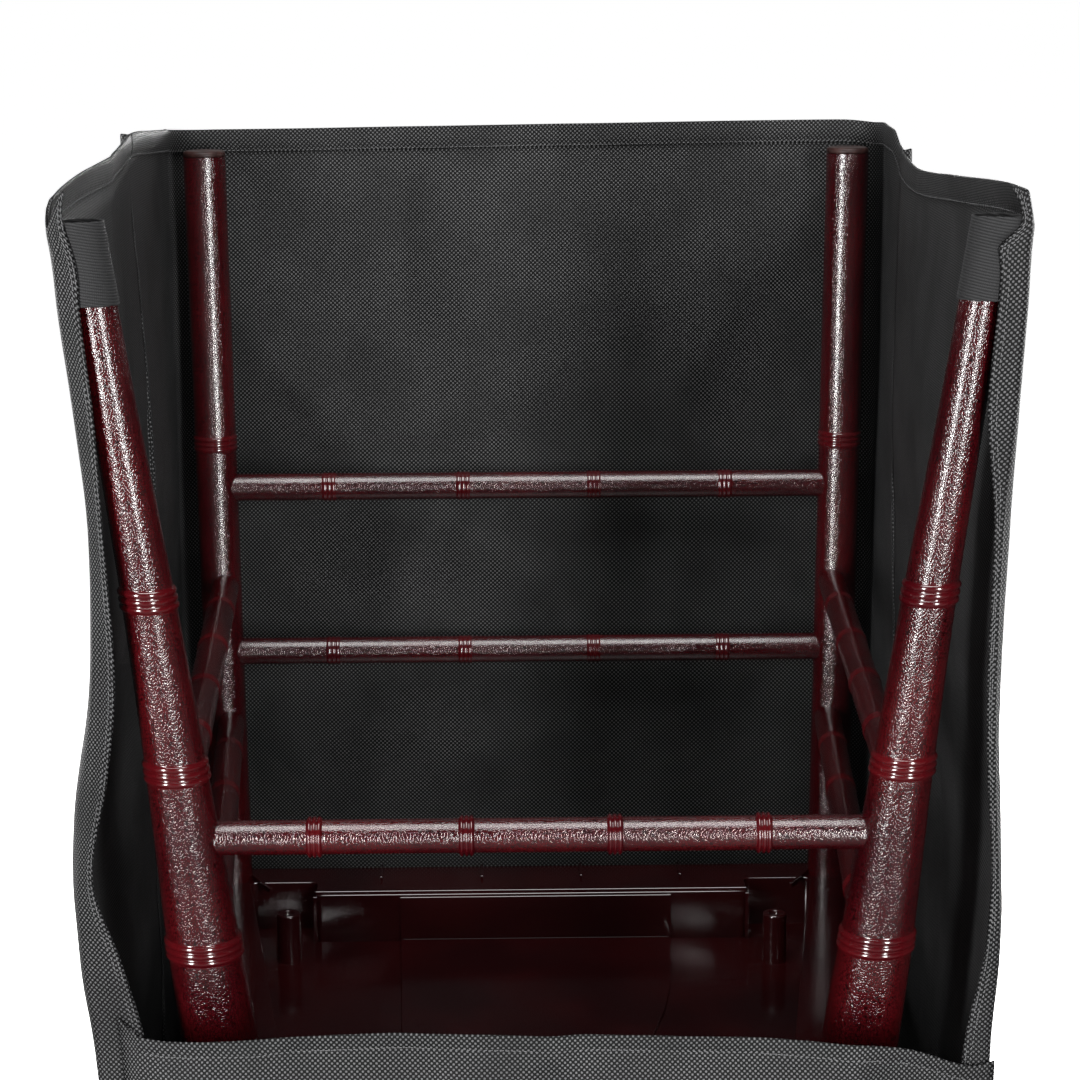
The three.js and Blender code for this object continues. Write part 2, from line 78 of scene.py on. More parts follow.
class Graph:
    # a node tree, and the ways to add to it
    def __init__(self, tree):
        self.tree = tree

    def plug(self, socket, value):
        if isinstance(value, Value):
            self.tree.links.new(value.socket, socket)
        else:
            socket.default_value = value

    def add(self, kind, settings=None, inputs=None):
        node = self.tree.nodes.new(kind)
        for key, value in (settings or {}).items():
            setattr(node, key, value)
        for key, value in (inputs or {}).items():
            self.plug(node.inputs[key], value)
        return node

    def out(self, node, name=0):
        return Value(self, node.outputs[name])

    def make(self, kind, settings=None, inputs=None, name=0):
        return self.out(self.add(kind, settings, inputs), name)

    def math(self, operation, *values):
        return self.make("ShaderNodeMath", {"operation": operation}, dict(enumerate(values)))

    def vector(self, operation, inputs, name=0):
        return self.make("ShaderNodeVectorMath", {"operation": operation}, inputs, name)

    def axis(self, vector, name):
        return self.make("ShaderNodeSeparateXYZ", None, {0: vector}, name)

    def place(self, kind="Object"):
        return self.make("ShaderNodeTexCoord", None, None, kind)

    def cut(self, name):
        # how far along the flat cloth, in metres
        return self.axis(self.make("ShaderNodeUVMap", {"uv_map": "cut"}), name)

    def attribute(self, name):
        return self.make("ShaderNodeAttribute", {"attribute_name": name}, None, "Fac")

    def seen(self):
        return self.make("ShaderNodeLightPath", None, None, "Is Camera Ray")

    def step(self, value, low, high, start=0.0, end=1.0):
        # a soft step from start to end as the value goes from low to high
        inputs = {"Value": value, "From Min": low, "From Max": high, "To Min": start, "To Max": end}
        return self.make("ShaderNodeMapRange", {"interpolation_type": "SMOOTHSTEP"}, inputs)

    def colour(self, factor, first, second):
        inputs = {0: factor, 6: first, 7: second}
        return self.make("ShaderNodeMix", {"data_type": "RGBA"}, inputs, 2)

    def noise(self, vector, scale, detail=2.0, roughness=0.5):
        inputs = {"Vector": vector, "Scale": scale, "Detail": detail, "Roughness": roughness}
        return self.make("ShaderNodeTexNoise", None, inputs)

    def bump(self, height):
        # height in metres
        inputs = {"Strength": 1.0, "Distance": 1.0, "Height": height}
        return self.make("ShaderNodeBump", None, inputs)


def newMaterial(name):
    material = bpy.data.materials.new(name)
    material.use_nodes = True
    return material, Graph(material.node_tree)


def finishMaterial(material, graph, values):
    shader = material.node_tree.nodes["Principled BSDF"]
    for name, value in values.items():
        graph.plug(shader.inputs[name], value)
    return material


clothValues = dict(
    across=2.55 * mm,  # pitch of the bond points along the cloth's width
    up=2.47 * mm,  # and up it
    ground=(0.0012, 0.0012, 0.0013, 1),
    # the bond points' colour: the points are the cloth's own pattern, but their lightness is
    # painted sheen
    point=(0.085, 0.085, 0.0865, 1),
    depth=0.05 * mm,
    patches=26.0,  # scale of the patches where the points stand out less
    faintest=0.72,
    fibres=900.0,
    fibreDepth=0.05 * mm,
    wear=7.0,
    dust=(0.05, 0.049, 0.047, 1),
    dustShare=0.05,
    roughness=0.62,
    pointGloss=0.25,  # how much smoother the points are
    wearRoughness=0.04,
    shine=0.12,
)


def clothMaterial(name, v):
    material, graph = newMaterial(name)
    place, turn = graph.place(), 2 * math.pi
    across = graph.math("COSINE", graph.cut("X") * (turn / v["across"]))
    up = graph.math("COSINE", graph.cut("Y") * (turn / v["up"]))
    patchy = graph.noise(place, v["patches"], 3.0)
    patches = graph.step(patchy, 0.32, 0.62, v["faintest"], 1.0)
    fibres = graph.noise(place, v["fibres"])
    points = graph.step(across * up, 0.0, 0.7) * patches
    worn = graph.step(graph.noise(place, v["wear"], 4.0), 0.45, 0.75)
    # the bond-point pattern is the cloth's own; its lighter colour is painted sheen of the glossy
    # points
    colour = graph.colour(points * (0.75 + 0.5 * fibres), v["ground"], v["point"])
    return finishMaterial(material, graph, {
        "Base Color": graph.colour(worn * v["dustShare"], colour, v["dust"]),
        "Roughness": v["roughness"] - v["pointGloss"] * points + v["wearRoughness"] * worn,
        "Specular IOR Level": v["shine"],
        "Normal": graph.bump(points * v["depth"] + fibres * v["fibreDepth"]),
    })


elasticValues = dict(
    dark=(0.003, 0.003, 0.0033, 1),
    light=(0.016, 0.016, 0.0166, 1),
    weave=0.9 * mm,  # pitch of the weave across the ribs
    weaveDepth=0.03 * mm,
    wool=1400.0,
    woolDepth=0.04 * mm,
    roughness=0.78,
    ribGloss=0.15,
    shine=0.25,
    sheen=0.03,
)


def elasticMaterial(name, v):
    material, graph = newMaterial(name)
    weave = graph.math("SINE", graph.cut("X") * (2 * math.pi / v["weave"]))
    ribs = graph.attribute("rib")
    wool = graph.noise(graph.place(), v["wool"])
    return finishMaterial(material, graph, {
        "Base Color": graph.colour(ribs * (0.6 + 0.6 * wool), v["dark"], v["light"]),
        "Roughness": v["roughness"] - v["ribGloss"] * ribs,
        "Specular IOR Level": v["shine"],
        "Sheen Weight": v["sheen"],
        "Sheen Roughness": 0.5,
        "Normal": graph.bump(weave * v["weaveDepth"] + wool * v["woolDepth"]),
    })


threadValues = dict(
    dark=(0.02, 0.02, 0.021, 1),
    light=(0.2, 0.2, 0.204, 1),
    twist=2600.0,
    twistDepth=0.05 * mm,
    uneven=60.0,
    roughness=0.5,
)


def threadMaterial(name, v):
    material, graph = newMaterial(name)
    twist = graph.noise(graph.place(), v["twist"], 1.0)
    uneven = graph.noise(graph.place(), v["uneven"])
    return finishMaterial(material, graph, {
        "Base Color": graph.colour(0.35 * twist + 0.5 * uneven, v["dark"], v["light"]),
        "Roughness": v["roughness"] + 0.2 * twist,
        "Normal": graph.bump(twist * v["twistDepth"]),
    })


resinValues = dict(
    deep=(0.028, 0.0010, 0.0022, 1),
    warm=(0.055, 0.0022, 0.0034, 1),
    # painted shade: a near black laid into the creases between the pebbles
    creaseShade=(0.002, 0.0002, 0.0003, 1),
    creaseShadeShare=0.95,
    clouds=14.0,
    grain=1.3 * mm,  # width of the pebbles
    depth=0.062 * mm,
    pull=0.5,  # how far the pebbles are pulled out of shape
    orangePeel=90.0,
    orangePeelDepth=0.03 * mm,
    roughness=0.13,
    shine=0.9,
)


def resinMaterial(name, v):
    material, graph = newMaterial(name)
    place, grained, scale = graph.place(), graph.attribute("grain"), 1 / v["grain"]
    shifts = {"Vector": place, "Scale": scale * 0.8, "Detail": 1.0}
    shift = graph.make("ShaderNodeTexNoise", None, shifts, "Color")
    moved = graph.vector("SCALE", {0: shift, "Scale": v["pull"] * v["grain"]})
    cells = {"Vector": graph.vector("ADD", {0: place, 1: moved}), "Scale": scale}
    edge = graph.make("ShaderNodeTexVoronoi", {"feature": "DISTANCE_TO_EDGE"}, cells, "Distance")
    # painted shade: the creases between the pebbles are darkened in the colour, so the highlight
    # breaks into bright cells
    creaseShade = graph.step(edge, 0.02, 0.15, 1.0, 0.0) * grained
    pebbles = 0.7 * graph.step(edge, 0.0, 0.15) + 0.5 * graph.step(edge, 0.05, 0.5)
    fine = graph.noise(place, scale * 2.2, 2.0, 0.6)
    cloudy = graph.noise(place, v["clouds"], 3.0)
    colour = graph.colour(graph.step(cloudy, 0.3, 0.7), v["deep"], v["warm"])
    relief = (pebbles + 0.2 * fine) * grained * v["depth"]
    orangePeel = graph.noise(place, v["orangePeel"], 1.0) * v["orangePeelDepth"]
    return finishMaterial(material, graph, {
        "Base Color": graph.colour(creaseShade * v["creaseShadeShare"], colour, v["creaseShade"]),
        "Roughness": v["roughness"] + 0.04 * cloudy,
        "Specular IOR Level": v["shine"],
        "Normal": graph.bump(relief + orangePeel),
    })


# the seat's tray is the same resin as the posts, painted darker: painted shade for the seat's
# underside, deep inside the cover
seatShadeTones = dict(deep=(0.008, 0.0007, 0.0011, 1), warm=(0.016, 0.0013, 0.0017, 1))
shadedSeatResinValues = resinValues | seatShadeTones

glideValues = dict(
    dark=(0.012, 0.004, 0.0035, 1),
    light=(0.03, 0.011, 0.009, 1),
    scuffs=160.0,
    scuffDepth=0.12 * mm,
    roughness=0.4,
    shine=0.3,
)


def glideMaterial(name, v):
    material, graph = newMaterial(name)
    scuffs = graph.noise(graph.place(), v["scuffs"], 4.0, 0.65)
    return finishMaterial(material, graph, {
        "Base Color": graph.colour(graph.step(scuffs, 0.35, 0.7), v["dark"], v["light"]),
        "Roughness": v["roughness"] + 0.2 * scuffs,
        "Specular IOR Level": v["shine"],
        "Normal": graph.bump(scuffs * v["scuffDepth"]),
    })


cloth = clothMaterial("blackSpunbond", clothValues)
elastic = elasticMaterial("ribbedElastic", elasticValues)
thread = threadMaterial("blackThread", threadValues)
resin = resinMaterial("mahoganyResin", resinValues)
# the seat's resin: a darker copy of the posts' resin, as painted shade
shadedSeatResin = resinMaterial("shadedMahoganyResin", shadedSeatResinValues)
glide = glideMaterial("brownNylon", glideValues)
print("materials made")


def addObject(name, data):
    made = bpy.data.objects.new(name, data)
    bpy.context.collection.objects.link(made)
    return made


cameraValues = dict(
    place=(-0.0191, -1.3483, 1.0233),
    down=12.54,
    turn=0.97,
    lean=-0.27,
    lens=86.92,
    sensor=36,
    clipEnd=1000,
)


def addCamera(v):
    data = bpy.data.cameras.new("camera")
    data.lens = v["lens"]
    data.sensor_width = v["sensor"]
    data.clip_end = v["clipEnd"]
    down, turn = math.radians(v["down"]), math.radians(v["turn"])
    east, north = math.sin(turn), math.cos(turn)
    ahead = Vector((east * math.cos(down), north * math.cos(down), -math.sin(down)))
    above = Vector((east * math.sin(down), north * math.sin(down), math.cos(down)))
    axes = Matrix((ahead.cross(above), above, -ahead)).transposed().to_4x4()
    camera = addObject("camera", data)
    lean = Matrix.Rotation(math.radians(v["lean"]), 4, "Z")
    camera.matrix_world = Matrix.Translation(v["place"]) @ axes @ lean
    bpy.context.scene.camera = camera


# Tall soft boxes either side of the camera, wide ones overhead and behind, and low ones that
# light the cover from outside: a place, a width and height, what it points at, and its power.
lightValues = dict(
    keyLeft=((-1.26, -1.89, 0.83), (0.33, 1.6), (0.0, 0.0, 0.83), 70.0),
    keyRight=((0.84, -2.17, 0.83), (0.33, 1.6), (0.0, 0.0, 0.83), 66.0),
    overhead=((0.0, -0.5, 2.5), (1.6, 1.2), (0.0, 0.0, 0.6), 44.0),
    behind=((0.3, 2.4, 1.9), (2.0, 1.6), (0.0, 0.0, 0.6), 8.0),
    lowBehind=((0.7, 2.3, 0.62), (1.0, 1.0), (0.0, 0.2, 0.5), 60.0),
    sideLeft=((-2.1, 0.95, 0.7), (0.8, 1.2), (-0.2, 0.0, 0.5), 50.0),
    sideRight=((2.1, 0.95, 0.7), (0.8, 1.2), (0.2, 0.0, 0.5), 50.0),
)
roomValues = dict(
    horizon=0.003,  # the light that the room throws at its horizon
    above=0.0,
    floor=0.08,  # and the floor
    halfFloor=300.0,
    shade=(0.03, 0.03, 0.03, 1),
    pale=((0.86, 0.86, 0.86, 1), (0.89, 0.89, 0.89, 1)),
    underfoot=(0.55, 0.55, 0.55, 1),
    white=(1, 1, 1, 1),
    whiteFrom=(0.4, 1.3),  # metres from the chair
    mottle=3.0,
    aboveFrom=(0.17, 0.5),  # how steeply up the horizon gives way
    roughness=0.8,
)


def addLights(lights):
    for name, (place, size, target, power) in lights.items():
        data = bpy.data.lights.new(name, "AREA")
        data.shape = "RECTANGLE"
        data.size, data.size_y = size
        data.energy = power
        light = addObject(name, data)
        light.location = place
        aim = Vector(target) - light.location
        light.rotation_euler = aim.to_track_quat("-Z", "Y").to_euler()


def floorMaterial(v):
    # whiter to the camera than the light it throws back
    material, graph = newMaterial("paleFloor")
    place, seen = graph.place(), graph.seen()
    away = graph.vector("LENGTH", {0: place}, "Value")
    shown = graph.colour(graph.step(away, *v["whiteFrom"]), v["underfoot"], v["white"])
    pale = graph.colour(graph.noise(place, v["mottle"]), *v["pale"])
    thrown = (v["floor"],) * 3 + (1,)
    return finishMaterial(material, graph, {
        "Base Color": graph.colour(seen, v["shade"], pale),
        "Roughness": v["roughness"],
        "Emission Color": graph.colour(seen, thrown, shown),
        "Emission Strength": 1.0,
    })


def addStage(v):
    half = v["halfFloor"]
    mesh = bpy.data.meshes.new("floor")
    corners = [(-half, -half, 0), (half, -half, 0), (half, half, 0), (-half, half, 0)]
    mesh.from_pydata(corners, [], [(0, 1, 2, 3)])
    mesh.materials.append(floorMaterial(v))
    addObject("floor", mesh)
    world = bpy.data.worlds.new("paleRoom")
    bpy.context.scene.world = world
    world.use_nodes = True
    graph = Graph(world.node_tree)
    up = graph.axis(graph.place("Generated"), "Z")
    light = graph.step(up, *v["aboveFrom"], v["horizon"], v["above"])
    light = light + graph.seen() * (1 - light)
    background = world.node_tree.nodes["Background"]
    background.inputs["Color"].default_value = v["white"]
    graph.plug(background.inputs["Strength"], light)


addCamera(cameraValues)
addLights(lightValues)
addStage(roomValues)
bpy.context.scene.view_settings.view_transform = "Standard"
print("camera, floor and light set")


def table(names, rows):
    # named columns; the first says where the rows are
    return {name: np.array(column, float) for name, column in zip(names.split(), zip(*rows))}


def along(columns, place, name):
    # one column of a table at these places, on a smooth curve through its rows
    at, value = next(iter(columns.values())), columns[name]
    slope = np.gradient(value)
    slope[1:-1] = (value[2:] - value[:-2]) / (at[2:] - at[:-2])
    slope[0] = (value[1] - value[0]) / (at[1] - at[0])
    slope[-1] = (value[-1] - value[-2]) / (at[-1] - at[-2])
    place = np.clip(place, at[0], at[-1])
    i = np.clip(np.searchsorted(at, place, "right") - 1, 0, len(at) - 2)
    span = at[i + 1] - at[i]
    t = (place - at[i]) / span
    return (
        (2 * t**3 - 3 * t**2 + 1) * value[i]
        + (t**3 - 2 * t**2 + t) * span * slope[i]
        + (3 * t**2 - 2 * t**3) * value[i + 1]
        + (t**3 - t**2) * span * slope[i + 1]
    )


def smooth(low, high, x):
    t = np.clip((x - low) / (high - low), 0, 1)
    return t * t * (3 - 2 * t)


def bell(x, middle, width):
    return np.exp(-(((x - middle) / width) ** 2))


def crease(s, h, line):
    # A ridge along a line. The line has a start, an end, a rise, a width on its left and one on
    # its right, and how soft its top is.
    startS, startH, endS, endH, rise, left, right, soft = line
    first, way = complex(startS, startH), complex(endS, endH) - complex(startS, startH)
    place = (s + 1j * h - first) / way
    t, off = place.real, place.imag * abs(way)
    held = smooth(-0.2, 0.15, t) * (1 - smooth(0.85, 1.2, t))
    width = np.where(off > 0, left, right)
    return rise * held * np.exp((soft - np.sqrt(off**2 + soft**2)) / width)


def crumple(s, h, seed, size, rise, folds=9):
    # an uneven net of soft ridges
    draw = np.random.default_rng(seed)
    total = 0.0
    for _ in range(folds):
        turn, phase, bend = draw.uniform(0, math.pi, 3)
        pitch = size * draw.uniform(0.7, 1.6)
        across = (s * math.cos(turn) + h * math.sin(turn)) / pitch
        beside = (h * math.cos(turn) - s * math.sin(turn)) / pitch
        swing = np.sin(2.3 * across + 2 * bend) * 0.6 + np.sin(1.7 * beside + bend) * 1.1
        strength = 0.5 + 0.5 * np.sin(0.9 * beside + 3 * phase)
        wave = np.sin(math.pi * across + 2 * phase + swing)
        total = total + strength * (0.64 - np.sqrt(wave**2 + 0.01))
    return rise * total / math.sqrt(folds)


def meshObject(name, points, faces, material, edges=()):
    mesh = bpy.data.meshes.new(name)
    mesh.from_pydata(np.asarray(points, float).reshape(-1, 3) * mm, list(edges), faces)
    if material:
        mesh.materials.append(material)
    mesh.shade_smooth()
    return addObject(name, mesh)


def gridFaces(rows, columns, ring=False):
    across = np.arange(columns if ring else columns - 1)
    r, c = np.meshgrid(np.arange(rows - 1), across, indexing="ij")
    here, beside = r * columns + c, r * columns + (c + 1) % columns
    corners = [here, beside, beside + columns, here + columns]
    return np.stack(corners, -1).reshape(-1, 4).tolist()


def measured(points, axis, start):
    # distance along the cloth's rows or columns, nought at the start
    steps = np.linalg.norm(np.diff(points, axis=axis), axis=-1)
    total = np.insert(np.cumsum(steps, axis=axis), 0, 0, axis=axis)
    return total - np.take(total, [start], axis=axis)


def clothObject(name, points, material=cloth, middle=0, ring=False):
    rows, columns = points.shape[:2]
    piece = meshObject(name, points, gridFaces(rows, columns, ring), material)
    cut = np.stack([measured(points, 1, middle), measured(points, 0, 0)], -1).reshape(-1, 2) * mm
    layer = piece.data.uv_layers.new(name="cut")
    corners = np.empty(len(piece.data.loops), np.int32)
    piece.data.loops.foreach_get("vertex_index", corners)
    layer.data.foreach_set("uv", cut[corners].ravel())
    return piece


def finalMesh(piece):
    return bpy.data.meshes.new_from_object(
        piece.evaluated_get(bpy.context.evaluated_depsgraph_get())
    )


def settle(piece):
    # what the modifiers make becomes the piece's own plain mesh
    mesh = finalMesh(piece)
    piece.modifiers.clear()
    piece.data = mesh
    return piece


def thicken(piece, thickness):
    solidify = piece.modifiers.new("thickness", "SOLIDIFY")
    solidify.thickness = thickness * mm
    solidify.offset = 0
    return settle(piece)


def newTree(name, inputs):
    # inputs after the geometry: a name, a kind of socket and a value for each
    tree = bpy.data.node_groups.new(name, "GeometryNodeTree")
    for way in ("OUTPUT", "INPUT"):
        tree.interface.new_socket("Geometry", in_out=way, socket_type="NodeSocketGeometry")
    for label, kind, value in inputs:
        socket = tree.interface.new_socket(label, in_out="INPUT", socket_type="NodeSocket" + kind)
        if value is not None:
            socket.default_value = value
    graph = Graph(tree)
    graph.add("NodeGroupOutput")
    return tree, graph, graph.add("NodeGroupInput")


def runTree(piece, tree, values):
    modifier = piece.modifiers.new(tree.name, "NODES")
    modifier.node_group = tree
    for item in tree.interface.items_tree:
        if item.in_out == "INPUT" and item.name in values:
            modifier[item.identifier] = values[item.name]
    return settle(piece)


def finishTree(graph, group, geometry):
    smoothShade = graph.make("GeometryNodeSetShadeSmooth", None, {"Geometry": geometry})
    real = graph.make("GeometryNodeRealizeInstances", None, {"Geometry": smoothShade})
    finish = {"Geometry": real, "Material": graph.out(group, "Material")}
    done = graph.make("GeometryNodeSetMaterial", None, finish)
    graph.plug(graph.tree.nodes["Group Output"].inputs["Geometry"], done)


def turnedTree():
    # A turned rod: a line's points say how thick the rod is there and how far the nearest group
    # of ridges is. Level turns the ridges from square to the rod to lying flat.
    tree, graph, group = newTree("turnedRod", [
        ("Sides", "Int", 28),
        ("Ridge Pitch", "Float", 0.0024),
        ("Ridge Rise", "Float", 0.0008),
        ("Ridges", "Float", 3.0),
        ("Level", "Float", 0.0),
        ("Material", "Material", None),
    ])

    def named(name, kind="FLOAT"):
        kind, inputs = {"data_type": kind}, {"Name": name}
        return graph.make("GeometryNodeInputNamedAttribute", kind, inputs, "Attribute")

    def stored(geometry, name, value, kind="FLOAT"):
        inputs = {"Geometry": geometry, "Name": name, "Value": value}
        settings = {"data_type": kind, "domain": "POINT"}
        return graph.make("GeometryNodeStoreNamedAttribute", settings, inputs)

    height = graph.axis(graph.make("GeometryNodeInputPosition"), "Z")
    off = abs(named("fromRing"))
    pitch = graph.out(group, "Ridge Pitch")
    half = pitch * graph.out(group, "Ridges") * 0.5
    wave = abs(graph.math("COSINE", off / pitch * math.pi))
    ridges = graph.math("POWER", wave, 0.7) * (off < half)
    thick = named("thick") + ridges * graph.out(group, "Ridge Rise")
    line = graph.make("GeometryNodeMeshToCurve", None, {"Mesh": graph.out(group, "Geometry")})
    line = stored(line, "middle", height)
    line = stored(line, "ahead", graph.make("GeometryNodeInputTangent"), "FLOAT_VECTOR")
    circle = graph.make("GeometryNodeCurvePrimitiveCircle", None, {
        "Resolution": graph.out(group, "Sides"), "Radius": 1.0,
    })
    rod = graph.make("GeometryNodeCurveToMesh", None, {
        "Curve": line, "Profile Curve": circle, "Scale": thick, "Fill Caps": True,
    })
    ahead = named("ahead", "FLOAT_VECTOR")
    share = (named("middle") - height) / graph.axis(ahead, "Z") * graph.out(group, "Level")
    slide = graph.vector("SCALE", {0: ahead, "Scale": share})
    levelled = graph.make("GeometryNodeSetPosition", None, {"Geometry": rod, "Offset": slide})
    finishTree(graph, group, stored(levelled, "grain", graph.step(off, half, half * 1.15)))
    return tree


def stitchTree():
    # thread laid along a line, one stitch at every pitch
    tree, graph, group = newTree("stitchRow", [
        ("Pitch", "Float", 0.003),
        ("Stitch", "Vector", (0.0011, 0.00025, 0.00025)),
        ("Material", "Material", None),
    ])
    line = graph.make("GeometryNodeMeshToCurve", None, {"Mesh": graph.out(group, "Geometry")})
    spaced = graph.make("GeometryNodeResampleCurve", {"mode": "LENGTH"}, {
        "Curve": line, "Length": graph.out(group, "Pitch"),
    })
    ahead = graph.make("GeometryNodeInputTangent")
    turned = graph.make("FunctionNodeAlignRotationToVector", {"axis": "X"}, {"Vector": ahead})
    ball = graph.make("GeometryNodeMeshUVSphere", None, {"Segments": 8, "Rings": 5, "Radius": 1.0})
    stitches = graph.make("GeometryNodeInstanceOnPoints", None, {
        "Points": spaced, "Instance": ball, "Rotation": turned, "Scale": graph.out(group, "Stitch"),
    })
    finishTree(graph, group, stitches)
    return tree


turnedRod = turnedTree()
stitchRow = stitchTree()


def lineObject(name, lines, columns=None):
    # lines of points, each a list, as edges that a tree can follow, with a named value a point
    points = np.concatenate([np.asarray(line, float) for line in lines])
    edges, first = [], 0
    for line in lines:
        edges += [(first + i, first + i + 1) for i in range(len(line) - 1)]
        first += len(line)
    piece = meshObject(name, points, [], None, edges)
    for key, values in (columns or {}).items():
        attribute = piece.data.attributes.new(key, "FLOAT", "POINT")
        attribute.data.foreach_set("value", np.asarray(values, np.float32) * mm)
    return piece


# The cover's outline at heights above the seat: the near corners, the strips' free edges and
# the depths of the near and far walls.
outline = table("z leftX rightX leftEdge rightEdge nearY farY", (
    (-480, -207, 207, -190, 190, -262, 207),
    (-330, -206, 207, -188, 189, -254, 208),
    (-160, -204, 208, -185, 190, -241, 210),
    (-20, -203, 208, -182, 191, -230, 212),
    (50, -207, 209, -182, 195, -226, 213),
    (95, -210.5, 210.5, -192, 203, -228, 213),
    (135, -210.5, 208, -203, 204.5, -231, 213),
    (185, -205, 204.5, -194, 200.5, -234, 213),
    (230, -199.5, 203, -188.5, 198.5, -237, 213),
    (300, -197, 203, -190.5, 198.5, -241, 213),
    (350, -200.5, 207, -192, 193.5, -244, 213),
    (396, -205, 209, -195.4, 195.8, -247, 213),
    (412, -206, 209, -195.6, 196.3, -248, 213),
    (422, -207, 209.2, -197.4, 195.2, -248.5, 213),
    (430, -208, 209.6, -199.6, 203.6, -249, 213),
    (439, -207.5, 208, -200.5, 203.1, -249.5, 213),
    (446, -205, 206.5, -199.4, 199.5, -250, 213),
))
# How far the top hem stands below the rim at stations round the wall.
hemDrop = {
    "left": table("station drop", (
        (0, 0.3), (1, 2.3), (1.5, 2), (2, 0.4), (2.1, -1.6), (2.28, -5), (2.4, -1), (2.56, 0.3),
        (2.88, 0.8), (3.05, 3.5), (3.3, 11), (3.5, 14.5), (4, 8), (4.5, 2), (5, -1),
    )),
    "right": table("station drop", (
        (0, 0.3), (1, -1.5), (1.5, -0.3), (2.08, 0.5), (2.14, 7.5), (2.22, 12), (2.33, 15),
        (2.6, 9), (2.88, 2), (3, 1), (3.2, 1.5), (3.5, 2), (4, 1.5), (4.5, 0), (5, -0.5),
    )),
}
coverValues = dict(
    thickness=0.55,
    farHalfWidth=211,
    farCorner=26,
    nearCorner=7,
    seamY={"left": 62, "right": 115},
    pleat=2.5,  # how far the strips' free edges turn in above the back panel
    pleatFrom=(40, 130),  # over which heights
    topHem=13.2,  # depth of the hem turned in along the rim
    stitchAt=12.2,
    edgeHem=9.0,  # and along the strips' free edges
    fold=0.5,  # half the clear distance between a hem's layers
    lap=0.5,  # clear distance between the back panel and the strips
    rows=(58, 74),  # rows of the walls below and above their middle
    foot=(-482, -440),  # heights over which the folds fade out at the foot
    quiet=(420, 446),  # and grow less below the rim
)


def sideName(side):
    return "left" if side < 0 else "right"


def sided(name, side):
    return name + sideName(side).title()


def toward(a, b, distance):
    return a + (b - a) / abs(b - a) * distance


def planPoint(side, q, z):
    # The wall's plan, as x + iy. Station q runs from the middle of the far wall to the strip's
    # free edge: 0 to 1 far wall, 1 to 2 far corner, 2 to 3 side, 3 to 4 near corner, 4 to 5 strip.
    v, name, h = coverValues, sideName(side), z - seatZ
    nearY, farY = along(outline, h, "nearY"), along(outline, h, "farY")
    far = side * v["farHalfWidth"] + 1j * farY
    near = along(outline, h, name + "X") + 1j * nearY
    turnedIn = v["pleat"] * smooth(*v["pleatFrom"], h)
    edge = along(outline, h, name + "Edge") + 1j * (nearY + turnedIn)
    stops = [
        1j * farY,
        toward(far, 1j * farY, v["farCorner"]),
        toward(far, near, v["farCorner"]),
        toward(near, far, v["nearCorner"]),
        toward(near, edge, np.minimum(v["nearCorner"], abs(edge - near) / 2)),
        edge,
    ]
    i = np.clip(np.floor(q), 0, 4)
    t = q - i
    point = 0j
    for k in range(5):
        a, b = stops[k], stops[k + 1]
        stretch = a + (b - a) * t
        if k in (1, 3):
            corner = far if k == 1 else near
            stretch = a * (1 - t) ** 2 + corner * 2 * t * (1 - t) + b * t**2
        point = point + np.where(i == k, stretch, 0)
    return point


# The walls' soft waves, each a push at a height and half its length up the wall.
waveValues = dict(
    far=((-3, 260, 150),),
    left=((-6, 230, 120),),
    right=((3, 60, 130), (-4, 330, 110)),
    leftBelly=6,
    leftFoot=(3, -300),  # how much less the belly is at this height and below
    sway=(2, 95, 3),  # of the far wall: how far, and how long up and across
)


def waves(name, h):
    return sum(push * bell(h, middle, width) for push, middle, width in waveValues[name])


def wave(side, q, z):
    # how far the walls' waves stand out
    v, h = waveValues, z - seatZ
    across = np.minimum(q, 1)
    sway, up, over = v["sway"]
    far = waves("far", h) * (1 - across**2)
    far = far + sway * np.sin(h / up + side * across * over) * across * (1 - across)
    near = waves(sideName(side), h)
    if side < 0:
        less, foot = v["leftFoot"]
        near = near + v["leftBelly"] - less * smooth(0, -foot, -h)
    inside = np.clip(q, 2, 3) - 2
    return np.where(q < 2, far, 4 * inside * (1 - inside) * near)


def wallPoints(side, q, z, push):
    step = 0.01
    point = planPoint(side, q, z)
    ahead = planPoint(side, q + step, z) - planPoint(side, q - step, z)
    place = point + side * 1j * ahead / abs(ahead) * (wave(side, q, z) + push)
    return np.stack([place.real, place.imag, z + 0 * place.real], -1)


def seamStation(side, z, offset=0.0):
    # the station where the seam with the front panel runs, and the length of the side there
    start, end = planPoint(side, 2.0, z).imag, planPoint(side, 2.999, z).imag
    length, before = start - end, start - coverValues["seamY"][sideName(side)] + offset
    return 2 + before / length, length


hemValues = dict(
    lead=6,  # fine rows start this far above the hem's free edge
    leadRows=12,
    turnRows=6,
    backRows=9,
    press=0.25,  # how far the stitches press the cloth in, and the turned-in part
    backPress=0.3,
    pressWidth=1.2,
    puff=0.45,  # how far the turned-in part stands off between them
)


